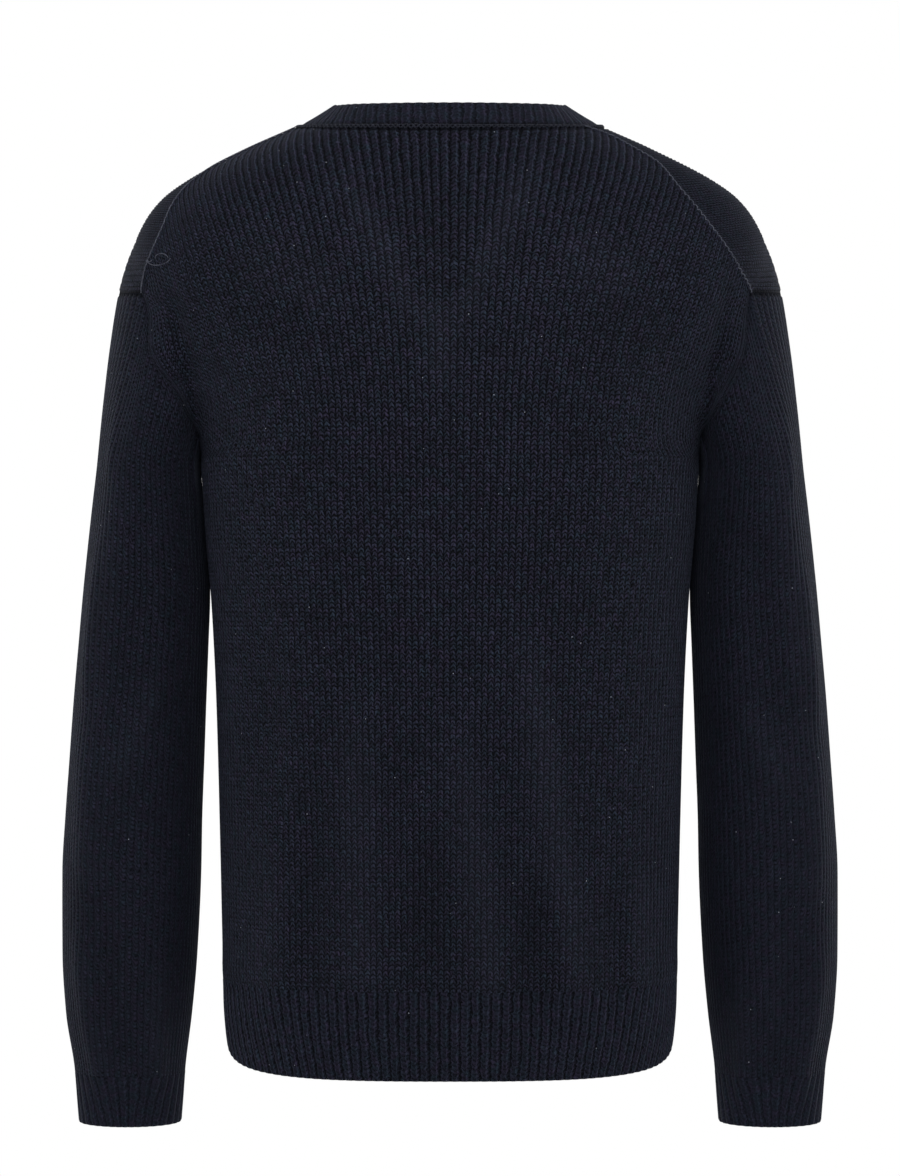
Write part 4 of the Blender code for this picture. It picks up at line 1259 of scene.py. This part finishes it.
def thread_piece(name, radius, material, strands, closed=False):
    """Round yarn along strands of points, as one mesh."""
    curve = bpy.data.curves.new(name, "CURVE")
    curve.dimensions = "3D"
    curve.bevel_depth, curve.bevel_resolution, curve.use_fill_caps = radius, 1, True
    for strand in strands:
        strand = strand[:-1] if closed else strand
        spline = curve.splines.new("POLY")
        spline.use_cyclic_u = closed
        spline.points.add(len(strand) - 1)
        spline.points.foreach_set("co", np.append(strand, np.ones((len(strand), 1)), 1).ravel())
    drawn = bpy.data.objects.new(name + "_curve", curve)
    bm = bmesh.new()
    bm.from_mesh(drawn.to_mesh())
    bmesh.ops.remove_doubles(bm, verts=bm.verts, dist=1e-6)
    mesh = bpy.data.meshes.new(name)
    bm.to_mesh(mesh)
    bm.free()
    bpy.data.objects.remove(drawn)
    mesh.shade_smooth()
    mesh.materials.append(material)
    piece = bpy.data.objects.new(name, mesh)
    bpy.context.scene.collection.objects.link(piece)
    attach(piece, "root")


def thread_material(name, low, high):
    """Doubled navy yarn, uneven in tone, with the ridges of its twist."""
    material = bpy.data.materials.new(name)
    material.use_nodes = True
    n = Nodes(material.node_tree)
    shader = material.node_tree.nodes["Principled BSDF"]
    shader.inputs["Roughness"].default_value = 0.85
    shader.inputs["Sheen Weight"].default_value = SHEEN
    shader.inputs["Specular IOR Level"].default_value = SHINE
    place = n.add("ShaderNodeTexCoord").outputs["Object"]
    twist = n.noise(place, 1300.0, 2.0)[0]
    colour = n.mix(n.clamp(n.math("MULTIPLY_ADD", twist, 4.0, -1.5)), low, high)
    n.tree.links.new(colour, shader.inputs["Base Color"])
    bump = n.add("ShaderNodeBump", {0: 0.6, 1: 0.0003, "Height": twist})
    n.tree.links.new(bump.outputs[0], shader.inputs["Normal"])
    return material


CHAIN_NAVY = (0.003, 0.0035, 0.006, 1)
CHAIN_LIGHT = (0.016, 0.018, 0.028, 1)
SEAM_LOW = (0.020, 0.023, 0.034, 1)
SEAM_LIGHT = (0.075, 0.08, 0.105, 1)
CHAIN_THREAD = thread_material("linking_yarn", CHAIN_NAVY, CHAIN_LIGHT)
SEAM_THREAD = thread_material("seam_yarn", SEAM_LOW, SEAM_LIGHT)
neck_line, neck_outs = band[0][0], band[1][0]
strands = [chain(neck_line, neck_outs, phase=phase, **NECK_CHAIN) for phase in (0, np.pi)]
thread_piece("neck_linking_chain", NECK_YARN, CHAIN_THREAD, strands, closed=True)

for side, side_name in SIDE_NAMES.items():
    places = shoulder_seam(side)[::-1]
    outs = outward(shoulder_point, places[:, 0], places[:, 1]) * (side, 1, 1)
    strand = chain(seam_line(side, places), outs, **SEAM_CHAINS[side])
    thread_piece(f"back_seam_thread_{side_name}", SEAM_YARN, SEAM_THREAD, [strand])

turn = np.linspace(0, np.pi, 25)
lift = 0.0009 + 0.0014 * np.sin(turn)
strands = []
for start, width, drop in zip(*PULLED_LOOPS.values(), strict=True):
    x = read(BACK_SEAM, "left", PULLED_FROM) - start - width / 2 * (1 - np.cos(turn))
    level = PULLED_FROM - drop * np.sin(turn)
    angle = angle_at(x, level)
    strand = shoulder_point(angle, level) + outward(shoulder_point, angle, level) * lift[:, None]
    strands.append(strand)
thread_piece("pulled_stitch", PULLED_YARN, SEAM_THREAD, strands)


# ---------------------------------------------------------------------------------------------
# The studio: a pale floor far below, white surroundings, tall soft lights beside the sleeves
# that edge them with light, and the camera square on to the back.
# ---------------------------------------------------------------------------------------------
CAMERA_AWAY = 2.85
CAMERA_HEIGHT = -0.3296
VIEW_HEIGHT = 0.8408  # of the picture, at the sweater
FLOOR = -1.45
bm = bmesh.new()
bmesh.ops.create_circle(bm, cap_ends=True, segments=96, radius=4.0)
bmesh.ops.translate(bm, verts=bm.verts, vec=(0, 0, FLOOR))
floor_mesh = bpy.data.meshes.new("floor")
bm.to_mesh(floor_mesh)
bm.free()
floor_paint = bpy.data.materials.new("pale_floor")
floor_paint.use_nodes = True
floor_paint.node_tree.nodes["Principled BSDF"].inputs["Base Color"].default_value = (0.8, 0.8, 0.8, 1)
floor_mesh.materials.append(floor_paint)
floor = bpy.data.objects.new("floor", floor_mesh)
bpy.context.scene.collection.objects.link(floor)

world = bpy.data.worlds.new("white_studio")
world.use_nodes = True
world.node_tree.nodes["Background"].inputs["Color"].default_value = (1, 1, 1, 1)
world.node_tree.nodes["Background"].inputs["Strength"].default_value = 1.0
bpy.context.scene.world = world
bpy.context.scene.view_settings.view_transform = "Standard"

LIGHTS = table(
    "x y z width height power",
    (1.9, -1.5, -0.1, 0.6, 2.0, 13.0),
    (-1.9, -1.5, -0.1, 0.6, 2.0, 13.0),
    (-0.2, 1.7, 1.5, 1.2, 0.9, 26.0),
)
for i, (x, y, z, width, height, power) in enumerate(zip(*LIGHTS.values(), strict=True)):
    light = bpy.data.lights.new(f"softbox_{i + 1}", "AREA")
    light.shape = "RECTANGLE"
    light.size, light.size_y, light.energy = width, height, power
    lamp = bpy.data.objects.new(light.name, light)
    lamp.location = (x, y, z)
    aim = Vector((0, 0, CAMERA_HEIGHT)) - lamp.location
    lamp.rotation_euler = aim.to_track_quat("-Z", "Y").to_euler()
    bpy.context.scene.collection.objects.link(lamp)

camera_data = bpy.data.cameras.new("camera")
camera_data.sensor_fit = "VERTICAL"
camera_data.angle_y = 2 * np.arctan(VIEW_HEIGHT / 2 / CAMERA_AWAY)
camera = bpy.data.objects.new("camera", camera_data)
camera.location = (0, CAMERA_AWAY, CAMERA_HEIGHT)
camera.rotation_euler = (np.pi / 2, 0, np.pi)
bpy.context.scene.collection.objects.link(camera)
bpy.context.scene.camera = camera
